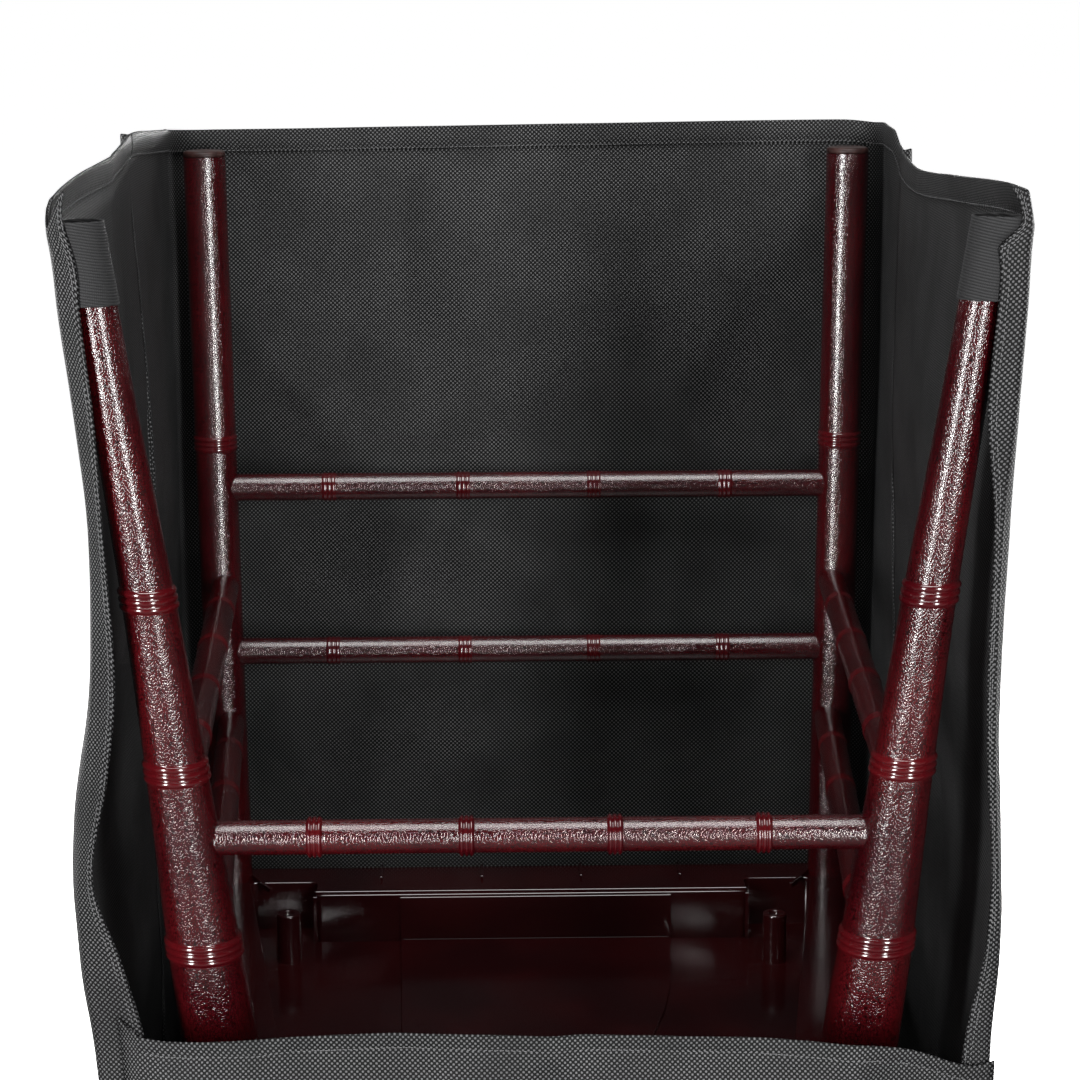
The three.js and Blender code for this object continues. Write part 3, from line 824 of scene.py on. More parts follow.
def hemmedRows(coarse, fine, depth, stitchAt):
    # Rows of a wall from its foot to a turned-in hem's free edge. Each has a share of the wall
    # below the hem, a distance below the fold, and a push inwards.
    v, fold = hemValues, coverValues["fold"]
    start, width = depth + v["lead"], v["pressWidth"]
    shares = [*np.linspace(0, 0.5, coarse), *np.linspace(0.5, 1, fine)[1:]]
    rows = [(share, start, 0) for share in shares]
    for d in np.linspace(start, 2, v["leadRows"])[1:]:
        rows.append((1, d, v["press"] * bell(d, stitchAt, width)))
    for turn in np.linspace(0, math.pi, v["turnRows"]):
        rows.append((1, fold * (1 - math.sin(turn)), fold * (1 - math.cos(turn))))
    for d in np.linspace(2, depth, v["backRows"]):
        puffed = v["puff"] * math.sin(math.pi * min(d / stitchAt, 1))
        puffed -= v["backPress"] * bell(d, stitchAt, width)
        rows.append((1, d, 2 * fold + puffed + v["press"] * smooth(stitchAt, depth, d)))
    share, below, inward = np.array(rows).T[:, :, None]
    return share, below, inward


def rowHeights(top, rows):
    share, below, _ = rows
    return np.where(share < 1, wallZ + (top - below - wallZ) * share, top - below)


def rim(side, q):
    return rimZ - along(hemDrop[sideName(side)], q, "drop")


puckerValues = dict(rise=0.3, pitch=1.9, uneven=0.4, unevenPitch=11, reach=4)


def pucker(s, rows):
    # the cloth drawn up by the top hem's stitches
    v = puckerValues
    ripple = v["rise"] * np.sin(s / v["pitch"] + v["uneven"] * np.sin(s / v["unevenPitch"]))
    return ripple * bell(rows[1], coverValues["stitchAt"], v["reach"])


def folds(s, h, creases, crumples, quiet, shape=0.0):
    # a wall's creases, and its large and small crumples, each a seed, a size and a rise
    large, small = crumples
    push = sum(crease(s, h, line) for line in creases) + shape
    push = push + crumple(s, h, *large) * quiet + crumple(s, h, *small)
    return push * smooth(*coverValues["foot"], h)


# A seam's allowance stands out from the wall and leans towards the far corner.
seamFin = ((0.0, 0.0), (0.5, 1.1), (0.2, 2.4), (-0.9, 3.6), (-2.2, 4.7))

farCreases = (
    (-75, 446, -70, 330, 2.2, 16, 22, 5),
    (22, 446, 17, 398, 2.4, 12, 12, 4),
    (-56, 222, -96, 140, -3.6, 28, 60, 4),
    (-40, 208, 10, 168, -2.4, 20, 30, 3),
    (104, 215, 150, 120, -3.5, 60, 30, 6),
    (-160, 90, -128, 12, -3, 30, 26, 6),
    (-70, 58, 60, 70, -3, 50, 26, 8),
    (150, 96, 170, 10, -3, 26, 30, 6),
    (-120, 436, -186, 380, -1.6, 24, 24, 5),
)
lowCreases = (
    (-200, -40, -90, -190, -5, 60, 40, 6),
    (200, -20, 60, -150, 4, 50, 50, 7),
    (-30, -120, 70, -300, -5, 70, 40, 6),
    (-190, -300, -60, -400, 4, 50, 60, 8),
    (190, -330, 80, -430, -4, 50, 50, 7),
    (-60, -440, 120, -455, 3, 30, 22, 6),
)
# The far wall is pulled in towards its middle: how far, and where the flat part ends on each side.
farPlateau = table("h left right inward", (
    (-482, 150, 150, 0), (-100, 100, 112, 6), (0, 96, 112, 10), (60, 92, 110, 12),
    (150, 86, 104, 13), (215, 84, 92, 13), (241, 95, 90, 12.5), (270, 121, 92, 11.5),
    (300, 149, 101, 10), (330, 176, 117, 8), (360, 200, 140, 5.5), (400, 235, 171, 2.5),
    (430, 250, 200, 0.5), (446, 250, 210, 0),
))
frontValues = dict(
    columns=46,  # from the middle to a far corner
    cornerColumns=11,
    flankColumns={"left": 24, "right": 16},
    spans=(185, 40, 445),  # how wide a station is on the wall, at the corner and on the flank
    slope={"left": 0.19, "right": 0.17},  # of the wall beyond its flat part
    soft={"left": 3.0, "right": 9.0},  # how softly it starts
    reach=(-200, 205),
    edge=(185, 232),  # where the slope fades out
    crumples=((11, 95, 1.1), (12, 26, 0.22)),
)


def farShape(x, h):
    v = frontValues
    push = -along(farPlateau, h, "inward")
    for name, side in (("left", -1), ("right", 1)):
        beyond = np.clip(side * x, *v["reach"]) - along(farPlateau, h, name)
        push = push + v["slope"][name] * (np.hypot(beyond, v["soft"][name]) + beyond) / 2
    return push * (1 - smooth(*v["edge"], abs(x)))


def farFolds(x, h):
    quiet = 1 - 0.6 * smooth(*coverValues["quiet"], h)
    lines = farCreases + lowCreases
    return folds(x, h, lines, frontValues["crumples"], quiet, farShape(x, h))


def frontPanel():
    v, c = frontValues, coverValues
    rows = hemmedRows(*c["rows"], c["topHem"], c["stitchAt"])
    wall, corner, flank = v["spans"]
    halves = []
    for side in (-1, 1):
        toCorner = np.linspace(0, 1, v["columns"])
        stations = np.concatenate([toCorner, np.linspace(1, 2, v["cornerColumns"])[1:]])
        share = np.linspace(0, 1, v["flankColumns"][sideName(side)])[1:]
        fin = np.array(seamFin[1:])
        columns = len(stations) + len(share) + len(fin)
        q = np.empty((1, columns))
        q[0, : len(stations)] = stations
        top = np.full((1, columns), rimZ)
        out = np.zeros((1, columns))
        for _ in range(2):  # the seam's station depends on the height, and the rim on the station
            z = rowHeights(top, rows)
            last, length = seamStation(side, z)
            q = np.repeat(q[:1], len(z), 0) if len(q) == 1 else q
            q[:, len(stations):len(stations) + len(share)] = 2 + (last[:, :1] - 2) * share
            q[:, -len(fin):] = last[:, :1] + fin[:, 0] / length[:, :1]
            top = rim(side, q)
        out[0, -len(fin):] = fin[:, 1]
        onWall, onCorner, onFlank = np.minimum(q, 1), np.clip(q - 1, 0, 1), np.maximum(q - 2, 0)
        x = side * (onWall * wall + onCorner * corner + onFlank * flank)
        push = farFolds(x, z - seatZ) * (1 - smooth(0, 3, out)) + out - rows[2] - pucker(x, rows)
        points = wallPoints(side, q, z, push)
        halves.append(points[:, ::-1] if side < 0 else points[:, 1:])
    points = np.concatenate(halves, 1)
    piece = clothObject("frontCloth", points, middle=halves[0].shape[1] - 1)
    return thicken(piece, c["thickness"]), points[:, len(seamFin) - 1:1 - len(seamFin)]


sideCreases = {
    "left": (
        (-30, 450, -90, 250, -4, 30, 46, 5),
        (60, 300, -40, 120, 3, 40, 60, 8),
        (-230, 180, -80, 60, 4, 60, 36, 6),
        (-240, 20, -60, -140, -4, 50, 40, 6),
        (40, -60, -120, -220, 4, 60, 40, 6),
        (-240, -260, -40, -380, 4, 50, 40, 6),
    ),
    "right": (
        (100, 420, -60, 300, -2.5, 50, 40, 7),
        (-235, 330, -180, 120, 3, 30, 50, 6),
        (90, 250, -40, 90, 3, 40, 60, 8),
        (-230, 60, -60, -80, -4, 40, 50, 6),
        (60, -120, -140, -260, 4, 60, 40, 6),
        (-240, -300, -30, -420, -4, 50, 40, 6),
    ),
}
sideValues = dict(
    acrossColumns=60,  # from the seam to the near corner
    cornerColumns=9,
    stripColumns=9,
    turnColumns=6,
    backColumns=7,
    backFrom=0.12,  # share of the hem's depth where its turned-in part starts
    mostHem=0.9,  # the widest it may be, as a share of the strip
    strip=14,  # how wide a station is at the near corner and on the strip
    crumples={"left": ((21, 90, 1.2), (22, 24, 0.2)), "right": ((31, 90, 1.2), (32, 24, 0.2))},
)


def sideFolds(side, y, h):
    name = sideName(side)
    quiet = 1 - 0.6 * smooth(*coverValues["quiet"], h)
    return folds(y, h, sideCreases[name], sideValues["crumples"][name], quiet)


def sidePanel(side):
    v, c = sideValues, coverValues
    rows = hemmedRows(*c["rows"], c["topHem"], c["stitchAt"])
    fin = np.array(seamFin[:0:-1])
    corner = 1 + np.linspace(0, 1, v["cornerColumns"])[1:]
    strip = 2 + np.linspace(0, 1, v["stripColumns"])[1:]
    share = np.concatenate([np.linspace(0, 1, v["acrossColumns"]), corner, strip])
    hemTurn = np.linspace(0, math.pi, v["turnColumns"])[1:]
    hemBack = np.linspace(v["backFrom"], 1, v["backColumns"])
    columns = len(fin) + len(share) + len(hemTurn) + len(hemBack)
    top = np.full((1, columns), rimZ)
    z = rowHeights(top, rows)
    for _ in range(2):
        first, length = seamStation(side, z, c["thickness"])
        first, length = first[:, :1], length[:, :1]
        across = first + (3 - first) * share
        stations = np.where(share < 1, across, 2 + share)
        edgeLength = abs(planPoint(side, 5.0, z[:, :1]) - planPoint(side, 4.0, z[:, :1]))
        back = np.minimum(c["edgeHem"], v["mostHem"] * edgeLength)
        turned = 5 - (c["fold"] * (1 - np.sin(hemTurn))) / edgeLength
        returned = 5 - hemBack * back / edgeLength
        finned = first + fin[:, 0] / length
        q = np.concatenate([finned, stations + 0 * first, turned, returned], 1)
        top = rim(side, q)
        z = rowHeights(top, rows)
    inward = c["fold"] * (1 - np.cos(hemTurn)), 2 * c["fold"] + 0 * hemBack
    out = np.concatenate([fin[:, 1], np.zeros(len(share)), -inward[0], -inward[1]])
    s = planPoint(side, np.clip(q, 2, 3), z).imag - np.clip(q - 3, 0, 2) * v["strip"]
    pushed = sideFolds(side, s, z - seatZ) * (1 - smooth(3.0, 3.5, q))
    pushed = np.where(np.arange(columns) < len(fin), 0, pushed)
    points = wallPoints(side, q, z, pushed + out - rows[2] - pucker(s, rows))
    return thicken(clothObject(sided("sideCloth", side), points), c["thickness"]), points


# The back panel's top hem, from its left corner to its right one.
backHem = table("x height", (
    (-194, 69), (-185, 59.5), (-134, 59), (-60, 62), (40, 59.7), (110, 56), (165, 51.5),
    (198, 41), (209, 43),
))
backCreases = (
    (-40, 30, 10, 56, 4.5, 34, 12, 3),
    (-142, 22, -128, 54, 3.2, 20, 12, 3),
    (140, 60, 150, -60, 4.5, 40, 14, 3),
    (-120, 56, -96, 10, -1.8, 22, 16, 4),
    (-190, 40, -60, -90, 3.5, 40, 30, 5),
    (180, -40, 40, -160, 3, 40, 40, 6),
    (-180, -160, -20, -300, -4, 50, 40, 6),
    (190, -240, 60, -400, 4, 40, 50, 6),
    (-150, -420, 80, -450, 3, 30, 24, 6),
)
backValues = dict(
    rows=(52, 74),
    columns=104,
    halfWidth=210,
    inset=14,  # from the near left corner to the panel's left end
    hem=11.0,
    stitchAt=6.6,
    proud=1.5,  # of the strips it is lapped over
    lean=9,  # how far the wall leans out below its hem, over which heights and widths
    leanHeights=(8, 64),
    leanSides=((-200, -150), (138, 162)),
    belly=(2, 3, 120, 1.2),  # a mean, a swing, its length up the wall and where it starts
    dent=(2.2, 70, 26),  # depth, place and width
    dentSlope=0.9,
    dentHeight=20,
    dentFrom=(-150, 0),
    quiet=(30, 60),
    pucker=(0.2, 1.7, 4),  # rise, pitch and reach
    crumples=((41, 80, 1.1), (42, 24, 0.22)),
    middleColumn=52,
)


def backPoints(u, z, push):
    # the near wall's middle surface, u from its left end (-1) to the right corner (+1)
    v, h = backValues, z - seatZ
    left, right = along(outline, h, "leftX") + v["inset"], along(outline, h, "rightX")
    x = left + (right - left) * (u + 1) / 2
    (mean, swing, up, start), (depth, middle, width) = v["belly"], v["dent"]
    belly = (1 - u**2) * (mean + swing * np.sin(h / up + start))
    dent = depth * bell(x - v["dentSlope"] * (h - v["dentHeight"]), middle, width)
    dent = dent * smooth(*v["dentFrom"], h) * (1 - u**4)
    lean = v["lean"] * (1 - smooth(*v["leanHeights"], h)) * smooth(*v["leanSides"][0], x)
    lean = lean * (1 - smooth(*v["leanSides"][1], x))
    y = along(outline, h, "nearY") - v["proud"] - coverValues["lap"] - belly - lean + dent - push
    return np.stack([x, y, z + 0 * x], -1)


def backPanel():
    v, c = backValues, coverValues
    rows = hemmedRows(*v["rows"], v["hem"], v["stitchAt"])
    u = np.linspace(-1, 1, v["columns"])[None]
    x = v["halfWidth"] * u
    for _ in range(2):
        top = seatZ + along(backHem, x, "height")
        z = rowHeights(top, rows)
        x = backPoints(u, z, 0.0)[..., 0]
    h = z - seatZ
    pushed = folds(x, h, backCreases, v["crumples"], 1 - 0.5 * smooth(*v["quiet"], h))
    rise, pitch, reach = v["pucker"]
    drawn = rise * np.sin(x / pitch) * bell(rows[1], v["stitchAt"], reach)
    points = backPoints(u, z, pushed * (1 - smooth(0.9, 1.0, abs(u))) - rows[2] - drawn)
    piece = clothObject("backCloth", points, middle=v["middleColumn"])
    return thicken(piece, c["thickness"]), points


endValues = dict(
    cornerPoints=9,
    nearPoints=33,
    rings=26,
    innermost=0.02,  # share of the outline that the smallest ring has
    height=1,
    past=(0.4, 0.6),  # how far it reaches past the walls and the back panel
    ripple=(0.25, 21, 27),  # rise, and length across and along
    thickness=1.0,
)


def endPanel():
    # the closed end, laid on the floor under everything
    v, foot = endValues, np.array([wallZ])
    (pastWalls, pastBack), (rise, across, over) = v["past"], v["ripple"]

    def walls(side, stations):
        return [wallPoints(side, np.array([q]), foot, pastWalls)[0] for q in stations]

    right = walls(1, (0.0, 0.5, *np.linspace(1, 2, v["cornerPoints"]), 2.5, 3))
    ends = np.linspace(1, -1, v["nearPoints"])
    near = [backPoints(np.array([u]), foot, pastBack)[0] for u in ends]
    left = walls(-1, (4, 3.5, 3, 2.5, *np.linspace(2, 1, v["cornerPoints"]), 0.5))
    shares = np.linspace(1, v["innermost"], v["rings"])[:, None, None]
    points = np.array(right + near + left)[None] * [1, 1, 0] * shares + [0, 0, v["height"]]
    ripple = rise * np.sin(points[..., 0] / across) * np.sin(points[..., 1] / over)
    points[..., 2] += ripple * (1 - shares[..., 0] ** 4)
    return thicken(clothObject("endCloth", points, ring=True), v["thickness"])


frontCloth, farPoints = frontPanel()
(leftCloth, leftPoints), (rightCloth, rightPoints) = sidePanel(-1), sidePanel(1)
backCloth, backGrid = backPanel()
endCloth = endPanel()
print("cover made")

stitchValues = dict(
    pitch=2.6,
    stitch=(0.8, 0.18, 0.18),  # half a stitch's length, height and width
    proud=0.38,  # from the cloth's middle surface
    edgeRows=(1.5, 3.7),  # distances of the two rows from a strip's free edge
    backEnds=3,  # columns without stitches at the back panel's ends
)


def outwards(points):
    # a stitch's way out from the middle of the cover, square to the cloth's rows
    ahead = np.gradient(points[..., :2], axis=1)
    normal = np.stack([ahead[..., 1], -ahead[..., 0]], -1)
    normal /= np.maximum(np.linalg.norm(normal, axis=-1, keepdims=True), 1e-6)
    facing = np.sign((normal * points[..., :2]).sum(-1, keepdims=True))
    return np.concatenate([normal * facing, 0 * points[..., :1]], -1) * stitchValues["proud"]


def rimStitches(points):
    # a row on the inside of the turned-in top hem
    c, back = coverValues, points[-hemValues["backRows"]:]
    share = (c["stitchAt"] - 2) / (c["topHem"] - 2) * (len(back) - 1)
    i = int(share)
    line = back[i] + (back[i + 1] - back[i]) * (share - i)
    return line - outwards(line[None])[0]


def edgeStitches(strip, distance):
    # a row on the outside of a side panel's strip, this far from its free edge
    lines = []
    for row, push in zip(strip[:, ::-1], outwards(strip)[:, ::-1]):
        place = np.insert(np.cumsum(np.linalg.norm(np.diff(row, axis=0), axis=1)), 0, 0)
        lines.append([np.interp(distance, place, (row + push)[:, k]) for k in range(3)])
    return np.array(lines)


def backStitches(points):
    # a row on the outside of the back panel's hem
    turned, ends = -hemValues["backRows"], stitchValues["backEnds"]
    plain = turned - hemValues["turnRows"]
    top = points[plain:turned, :, 2].max(0) - backValues["stitchAt"]
    rows = np.moveaxis(points[:plain], 1, 0)
    line = []
    for height, place in zip(top, rows):
        line.append([np.interp(height, place[:, 2], place[:, k]) for k in range(3)])
    line = np.array(line)
    return (line + outwards(line[None])[0])[ends:-ends]


def addStitches():
    v, s = stitchValues, sideValues
    fins = len(seamFin) - 1
    strip = fins + s["acrossColumns"] + s["cornerColumns"] - 1  # its first column
    plain = -hemValues["backRows"] - hemValues["turnRows"]
    lines = [rimStitches(farPoints)]
    for points in (leftPoints, rightPoints):
        lines.append(rimStitches(points[:, fins:strip]))
        stripPoints = points[:plain, strip:strip + s["stripColumns"]]
        lines += [edgeStitches(stripPoints, distance) for distance in v["edgeRows"]]
    lines.append(backStitches(backGrid))
    stitch = [size * mm for size in v["stitch"]]
    values = {"Pitch": v["pitch"] * mm, "Stitch": stitch, "Material": thread}
    return runTree(lineObject("coverStitches", lines), stitchRow, values)


stitches = addStitches()
print("stitches made")

# The rear posts' axes and thickness at heights above the seat.
post = table("z half back radius", (
    (-480, 166, 60, 12),
    (-330, 161, 31, 14),
    (-180, 154, 10, 16.5),
    (-60, 149.5, 0.5, 18.6),
    (0, 149.3, 0, 18.75),
    (92, 157.7, 12.6, 17),
    (182, 166.2, 24.3, 14),
    (265, 174.7, 34.6, 12),
    (350, 184.9, 44.5, 10.2),
    (433.8, 194.2, 53.7, 8.5),
))
frontLegY = 182.8


def postAxis(side, z):
    h = z - seatZ
    return side * along(post, h, "half"), -frontLegY - along(post, h, "back")


def postPoint(side, z):
    return np.array([*postAxis(side, z), z], float)


loopValues = dict(
    height=36,
    cloth=0.9,
    slack=0.5,
    ribPitch=1.3,
    ribRise=0.28,
    slant=0.21,  # how steeply the ribs climb round the foot
    sections=96,
    rows=150,
    behind=1.6,  # from the strip's free edge to where the loop is sewn
    draw=6,  # how sharply the loop is drawn out towards its seam
    footBelow=4,  # the foot ends this far down in the loop
)


def elasticLoop(side):
    v = loopValues
    turn = np.linspace(0, 2 * math.pi, v["sections"], endpoint=False)[None]
    z = np.linspace(feetZ - v["height"], feetZ, v["rows"])[:, None]
    h = z - seatZ
    axisX, axisY = postAxis(side, z)
    edgeX = along(outline, h, sideName(side) + "Edge")
    edgeY = along(outline, h, "nearY") + coverValues["pleat"] + v["behind"]
    foot = along(post, h, "radius") + v["slack"]
    pull = np.hypot(edgeX - axisX, edgeY - axisY) - foot
    angle = np.arctan2(edgeY - axisY, edgeX - axisX) + turn
    climb = z + v["slant"] * foot * np.cos(angle)
    rib = 0.5 + 0.5 * np.cos(climb * 2 * math.pi / v["ribPitch"])
    drawn = np.maximum(np.cos(turn), 0) ** v["draw"] * np.maximum(pull, 0)
    out = foot + v["ribRise"] * rib + drawn
    points = np.stack([axisX + np.cos(angle) * out, axisY + np.sin(angle) * out, z + 0 * out], -1)
    piece = clothObject(sided("loop", side), points, elastic, ring=True)
    ribbed = piece.data.attributes.new("rib", "FLOAT", "POINT")
    ribbed.data.foreach_set("value", rib.ravel().astype(np.float32))
    return thicken(piece, v["cloth"])


loops = [elasticLoop(side) for side in (-1, 1)]
print("loops made")

chairValues = dict(
    legRadius=12.25,
    frontHalf=184.1,  # front legs' axes at the seat
    frontHalfFoot=187.4,
    frontRing=261.6,
    rearRings=(92, 181.5, 264.6),
    footRound=2.2,
    roundTurns=(18, 36, 54, 70, 82),  # degrees
    postStep=12,  # between a rod's points
    legStep=30,
    railStep=60,
    ringReach=8,  # half the length of a ring group with fine points
    railRingReach=6,
    # below the feet, and how much thinner than the leg
    glide=((3.6, 0.8), (3.3, 0.2), (3, 0), (2, 0), (1.2, 0.2), (0.5, 0.8), (0.1, 1.7), (0, 2.9)),
    railRadius=8,
    railRings=(0.18, 0.395, 0.605, 0.816),  # ring groups along a stretcher
    frontRails=(233.9, 132.7),
    sideRails=(175, 90),
    railInset=3,
    rearRails=(  # node, piece, height and radius
        ("rear_stretcher", "rearRail", 146.5, 8),
        ("back_lower_rail", "backLowerRail", -120, 9),
        ("back_upper_rail", "backUpperRail", -400, 9),
        ("crest_rail", "crestRail", -462, 11),
    ),
    spindles=5,
    spindleEnds=(-120, -400),
    spindleRadius=7,
    spindleRings=(0.25, 0.5, 0.75),
)
ringColumns = 37  # points along a rod at each ring group
beyondRings = 99.0  # distance from a group that counts as none
postRings = {"Sides": 40, "Ridge Pitch": 3.5 * mm, "Ridge Rise": 1.2 * mm, "Level": 1.0}
legRings = {"Sides": 40, "Ridge Pitch": 3.0 * mm, "Ridge Rise": 0.8 * mm, "Level": 1.0}
railRings = {"Sides": 28, "Ridge Pitch": 2.6 * mm, "Ridge Rise": 0.5 * mm}
rearRailRings = {"Sides": 32, "Ridge Pitch": 2.3 * mm, "Ridge Rise": 1.6 * mm}


def turnedRows(low, high, rings, step, reach):
    # places along a rod: close together at its ring groups, far apart between them
    places = set(np.linspace(low, high, max(int((high - low) / step), 2) + 1))
    places = {place for place in places if all(abs(place - ring) > reach for ring in rings)}
    for ring in rings:
        places.update(ring + np.linspace(-reach, reach, ringColumns))
    return np.array(sorted(places))


def rod(name, points, thick, away, values):
    piece = lineObject(name, [points], {"thick": thick, "fromRing": away})
    return runTree(piece, turnedRod, {"Material": resin} | values)


def turned(name, heights, axis, radius, rings, values, roundTop=False):
    # a rod along axis(height), with its top rounded over if it says so
    heights = np.asarray(heights, float)
    thick = radius(heights)
    if roundTop:
        over, turn = chairValues["footRound"], np.radians(chairValues["roundTurns"])
        top = heights[-1]
        heights = np.concatenate([heights[heights < top - over], top - over * (1 - np.sin(turn))])
        thick = radius(heights)
        thick[-len(turn):] -= over * (1 - np.cos(turn))
    points = np.array([axis(height) for height in heights])
    farthest = np.full(len(heights), beyondRings)
    away = np.min([abs(heights - ring) for ring in rings] + [farthest], 0)
    return rod(name, points, thick, away, values)


def rearPost(side):
    v = chairValues
    rings = [seatZ + ring for ring in v["rearRings"]]
    top = feetZ - loopValues["footBelow"]
    heights = turnedRows(wallZ, top, rings, v["postStep"], v["ringReach"])
    return turned(
        sided("rearPost", side), heights, lambda z: postPoint(side, z),
        lambda z: along(post, z - seatZ, "radius"), rings, postRings, True,
    )


def frontAxis(side, z):
    v = chairValues
    rise = (z - seatZ) / (feetZ - seatZ)
    half = v["frontHalf"] + (v["frontHalfFoot"] - v["frontHalf"]) * rise
    return np.array([side * half, frontLegY, z], float)


def frontLeg(side):
    v = chairValues
    rings = [seatZ + v["frontRing"]]
    top = feetZ - v["glide"][0][0]
    heights = turnedRows(seatZ - rimDepth, top, rings, v["legStep"], v["ringReach"])
    return turned(
        sided("frontLeg", side), heights, lambda z: frontAxis(side, z),
        lambda z: np.full(len(z), v["legRadius"]), rings, legRings,
    )


def footGlide(side):
    below, less = np.array(chairValues["glide"]).T
    points = [frontAxis(side, z) for z in feetZ - below]
    thick, away = chairValues["legRadius"] - less, np.full(len(below), beyondRings)
    return rod(sided("glide", side), points, thick, away, {"Material": glide, "Sides": 36})


def rail(name, start, end, radius=chairValues["railRadius"], groups=None, values=railRings):
    # a straight rail between two points, with ring groups at shares of its length
    v, length = chairValues, np.linalg.norm(end - start)
    rings = [share * length for share in groups or v["railRings"]]
    heights = turnedRows(0, length, rings, v["railStep"], v["railRingReach"])

    def axis(z):
        return start + (end - start) * z / length

    return turned(name, heights, axis, lambda z: np.full(len(z), float(radius)), rings, values)


def addRails():
    v, rails = chairValues, {}
    for i, height in enumerate(v["frontRails"]):
        ends = [frontAxis(side, seatZ + height) for side in (-1, 1)]
        rails[f"front_stretcher_{i + 1}"] = rail(f"frontRail{i + 1}", *ends)
    for side in (-1, 1):
        name, inboard = sideName(side), np.array([-side * v["railInset"], 0, 0])
        for i, height in enumerate(v["sideRails"]):
            ends = [axis(side, seatZ + height) + inboard for axis in (frontAxis, postPoint)]
            made = rail(sided("sideRail", side) + str(i + 1), *ends)
            rails[f"side_stretcher_{name}_{i + 1}"] = made
    for node, name, height, radius in v["rearRails"]:
        ends = [postPoint(side, seatZ + height) for side in (-1, 1)]
        rails[node] = rail(name, *ends, radius, values=rearRailRings)
    for i in range(v["spindles"]):
        across = 2 * ((i + 1) / (v["spindles"] + 1) - 0.5)
        ends = [postPoint(1, seatZ + height) * [across, 1, 1] for height in v["spindleEnds"]]
        made = rail(f"backSpindle{i + 1}", *ends, v["spindleRadius"], v["spindleRings"])
        rails[f"back_spindle_{i + 1}"] = made
    return rails


posts = [rearPost(side) for side in (-1, 1)]
legs = [frontLeg(side) for side in (-1, 1)]
glides = [footGlide(side) for side in (-1, 1)]
rails = addRails()
print("turned pieces made")

# The seat is a tray seen from below.
seatValues = dict(
    rim=-rimDepth,
    floor=-42,
    base=-45,  # the floor's hidden side
    far=(200, 199),  # the outline's corners, x and y
    near=(158, -176),
    corner=14,
    innerCorner=4,
    rounding=0.7,
    sharp=28,  # edges keener than this many degrees stay sharp
    bossSharp=50,
    faceY=150,  # the far rail's inner face, between the two pockets the bosses stand in
    faceHalf=131,
    pocket=(172, 173),  # the right pocket's far corner, and the tray's near one
    innerNear=(124, -146),
    blocks=(  # name, x, y, width, length, turn in degrees, lowest and highest, rounding
        ("seatBead", 0, 154.5, 262, 2.2, 0, -13, -10.9, 0.6),
        ("seatTick", -92, 186, 1.3, 22, 0, -13, -9.6, 0.4),
        ("seatTick", -30, 186, 1.3, 22, 0, -13, -9.6, 0.4),
        ("seatTick", 31, 186, 1.3, 22, 0, -13, -9.6, 0.4),
        ("seatTick", 92, 186, 1.3, 22, 0, -13, -9.6, 0.4),
        ("seatBrace", -165, 169, 29, 1.8, 118, -13, -9.4, 0.5),
        ("seatBrace", 165, 169, 29, 1.8, 62, -13, -9.4, 0.5),
        ("seatRib", -131, 149.2, 2.2, 2.4, 0, -42, -12.5, 0.4),
        ("seatRib", 131, 149.2, 2.2, 2.4, 0, -42, -12.5, 0.4),
    ),
    plate=(
        (-79.5, 148.4), (84.8, 148.4), (83, 108), (79, 68), (74, 36), (67, 8), (59, -30),
        (50, -118), (-70, -118),
    ),
    plateHeights=(-41.9, -40.3),
    plateFace=("plateFace", 2.65, 149.2, 164.3, 2.0, 0, -41.9, -13.2, 0.6),
    bosses={"left": (-145, 121), "right": (144, 113)},
    bossRows=(  # a radius, the height it is measured from and how far above that it is
        (7.6, "floor", 0), (7.2, "floor", 1.5), (7.0, "rim", -1.2), (6.8, "rim", -0.4),
        (6.2, "rim", 0), (3.9, "rim", 0), (3.4, "rim", -0.4), (3.2, "rim", -9),
    ),
    bossSides=40,
)


def rounded(corners, radius, arc=5):
    # a closed outline with its corners rounded
    corners = [complex(*corner) for corner in corners]
    outline = []
    for i, here in enumerate(corners):
        before, after = corners[i - 1], corners[(i + 1) % len(corners)]
        cut = min(radius, abs(before - here) / 2, abs(after - here) / 2)
        a, b = toward(here, before, cut), toward(here, after, cut)
        for t in np.linspace(0, 1, arc):
            outline.append(a * (1 - t) ** 2 + here * 2 * t * (1 - t) + b * t**2)
    return [(point.real, point.imag) for point in outline]


def flatShape(name, outlines, low, high, rounding=seatValues["rounding"]):
    # a flat body between two heights above the seat, from its outline and those of its holes
    data = bpy.data.curves.new(name, "CURVE")
    data.dimensions, data.fill_mode = "2D", "BOTH"
    data.extrude = ((high - low) / 2 - rounding) * mm
    data.bevel_depth, data.bevel_resolution = rounding * mm, 2
    data.offset = -rounding * mm
    for outline in outlines:
        spline = data.splines.new("POLY")
        spline.points.add(len(outline) - 1)
        for point, (x, y) in zip(spline.points, outline):
            point.co = (x * mm, y * mm, 0, 1)
        spline.use_cyclic_u = True
    body = addObject(name, data)
    mesh = finalMesh(body)
    mesh.transform(Matrix.Translation((0, 0, (seatZ + (high + low) / 2) * mm)))
    bpy.data.objects.remove(body)
    return mesh


def block(name, x, y, width, length, turn, low, high, rounding):
    # a flat rectangle, turned by so many degrees
    way = complex(math.cos(math.radians(turn)), math.sin(math.radians(turn)))
    signs = ((-1, -1), (1, -1), (1, 1), (-1, 1))
    corners = [complex(x, y) + complex(a * width, b * length) / 2 * way for a, b in signs]
    outline = [(corner.real, corner.imag) for corner in corners]
    return flatShape(name, [outline], low, high, rounding)


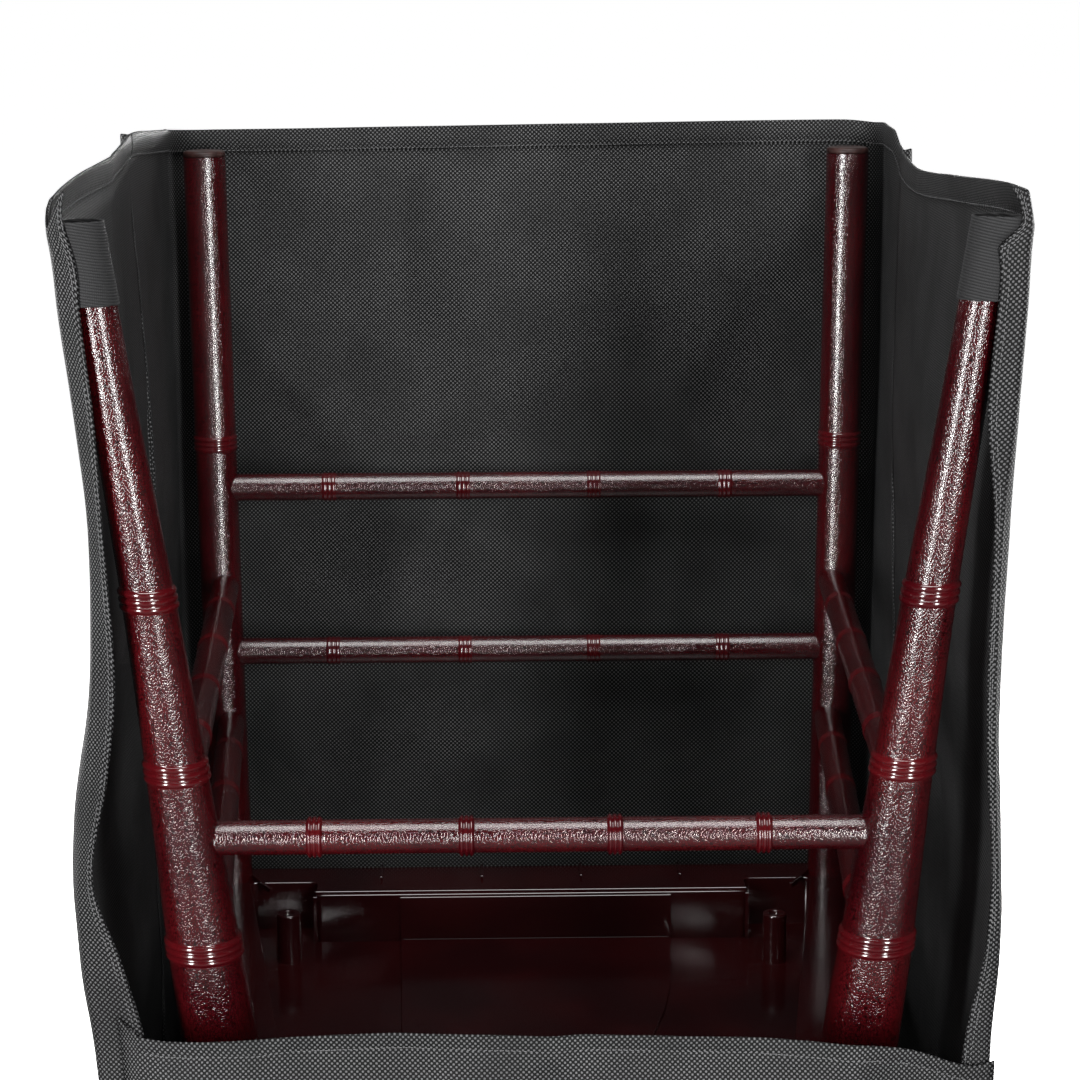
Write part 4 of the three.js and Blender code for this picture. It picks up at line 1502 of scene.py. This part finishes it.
def joined(name, meshes, material):
    whole = bmesh.new()
    for mesh in meshes:
        whole.from_mesh(mesh)
    bmesh.ops.recalc_face_normals(whole, faces=whole.faces)
    mesh = bpy.data.meshes.new(name)
    whole.to_mesh(mesh)
    whole.free()
    mesh.materials.append(material)
    mesh.shade_smooth()
    mesh.set_sharp_from_angle(angle=math.radians(seatValues["sharp"]))
    return addObject(name, mesh)


def seatTray():
    v = seatValues
    half, (farX, farY), (nearX, nearY) = v["faceHalf"], v["far"], v["near"]
    outer = rounded([(-farX, farY), (farX, farY), (nearX, nearY), (-nearX, nearY)], v["corner"])
    right = [(half, v["faceY"]), (half, v["pocket"][1]), v["pocket"], v["innerNear"]]
    inner = rounded([(-x, y) for x, y in right[::-1]] + right, v["innerCorner"])
    meshes = [
        flatShape("seatRail", [outer, inner], v["floor"] - 1, v["rim"]),
        flatShape("seatFloor", [outer], v["base"], v["floor"], 0.3),
    ]
    return joined("seatTray", meshes + [block(*row) for row in v["blocks"]], shadedSeatResin)


def seatPlate():
    v = seatValues
    floor = flatShape("plateFloor", [rounded(v["plate"], 3)], *v["plateHeights"], 0.6)
    return joined("seatPlate", [floor, block(*v["plateFace"])], shadedSeatResin)


def seatBoss(side):
    # a round boss with a screw hole in its top
    v, count = seatValues, seatValues["bossSides"]
    x, y = v["bosses"][sideName(side)]
    turn = np.linspace(0, 2 * math.pi, count, endpoint=False)
    rings = []
    for radius, start, rise in v["bossRows"]:
        level = np.full(count, seatZ + v[start] + rise)
        rings.append(np.column_stack([x + radius * np.cos(turn), y + radius * np.sin(turn), level]))
    last = (len(rings) - 1) * count
    ends = [list(range(count))[::-1], [last + i for i in range(count)]]
    faces = gridFaces(len(rings), count, True) + ends
    piece = meshObject(sided("seatBoss", side), np.concatenate(rings), faces, shadedSeatResin)
    piece.data.set_sharp_from_angle(angle=math.radians(v["bossSharp"]))
    return piece


tray, plate = seatTray(), seatPlate()
bosses = [seatBoss(side) for side in (-1, 1)]
print("seat made")


def standsFor(piece, node, slot):
    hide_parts(node)
    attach(piece, "root")


# what each piece stands for, and each sheet's flat size in metres
hung = (
    (frontCloth, "front_panel", (0.67, 0.945)),
    (leftCloth, "side_panel_left", (0.36, 0.945)),
    (rightCloth, "side_panel_right", (0.41, 0.945)),
    (backCloth, "back_panel", (0.405, 0.555)),
)
for piece, node, flat in hung:
    standsFor(piece, node, "cloth")
standsFor(endCloth, "end_panel", "cloth")
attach(stitches, "root")
for side, loop, postPiece in zip((-1, 1), loops, posts):
    standsFor(loop, "strap_" + sideName(side), "strap")
standsFor(plate, "seat_plate", "resin")
standsFor(tray, "seat", "resin")
pairs = (
    ("rear_post_", posts, "resin"),
    ("front_leg_", legs, "resin"),
    ("seat_boss_", bosses, "resin"),
    ("glide_", glides, "glide"),
)
for node, pieces, slot in pairs:
    for side, piece in zip((-1, 1), pieces):
        standsFor(piece, node + sideName(side), slot)
for node, piece in rails.items():
    standsFor(piece, node, "resin")
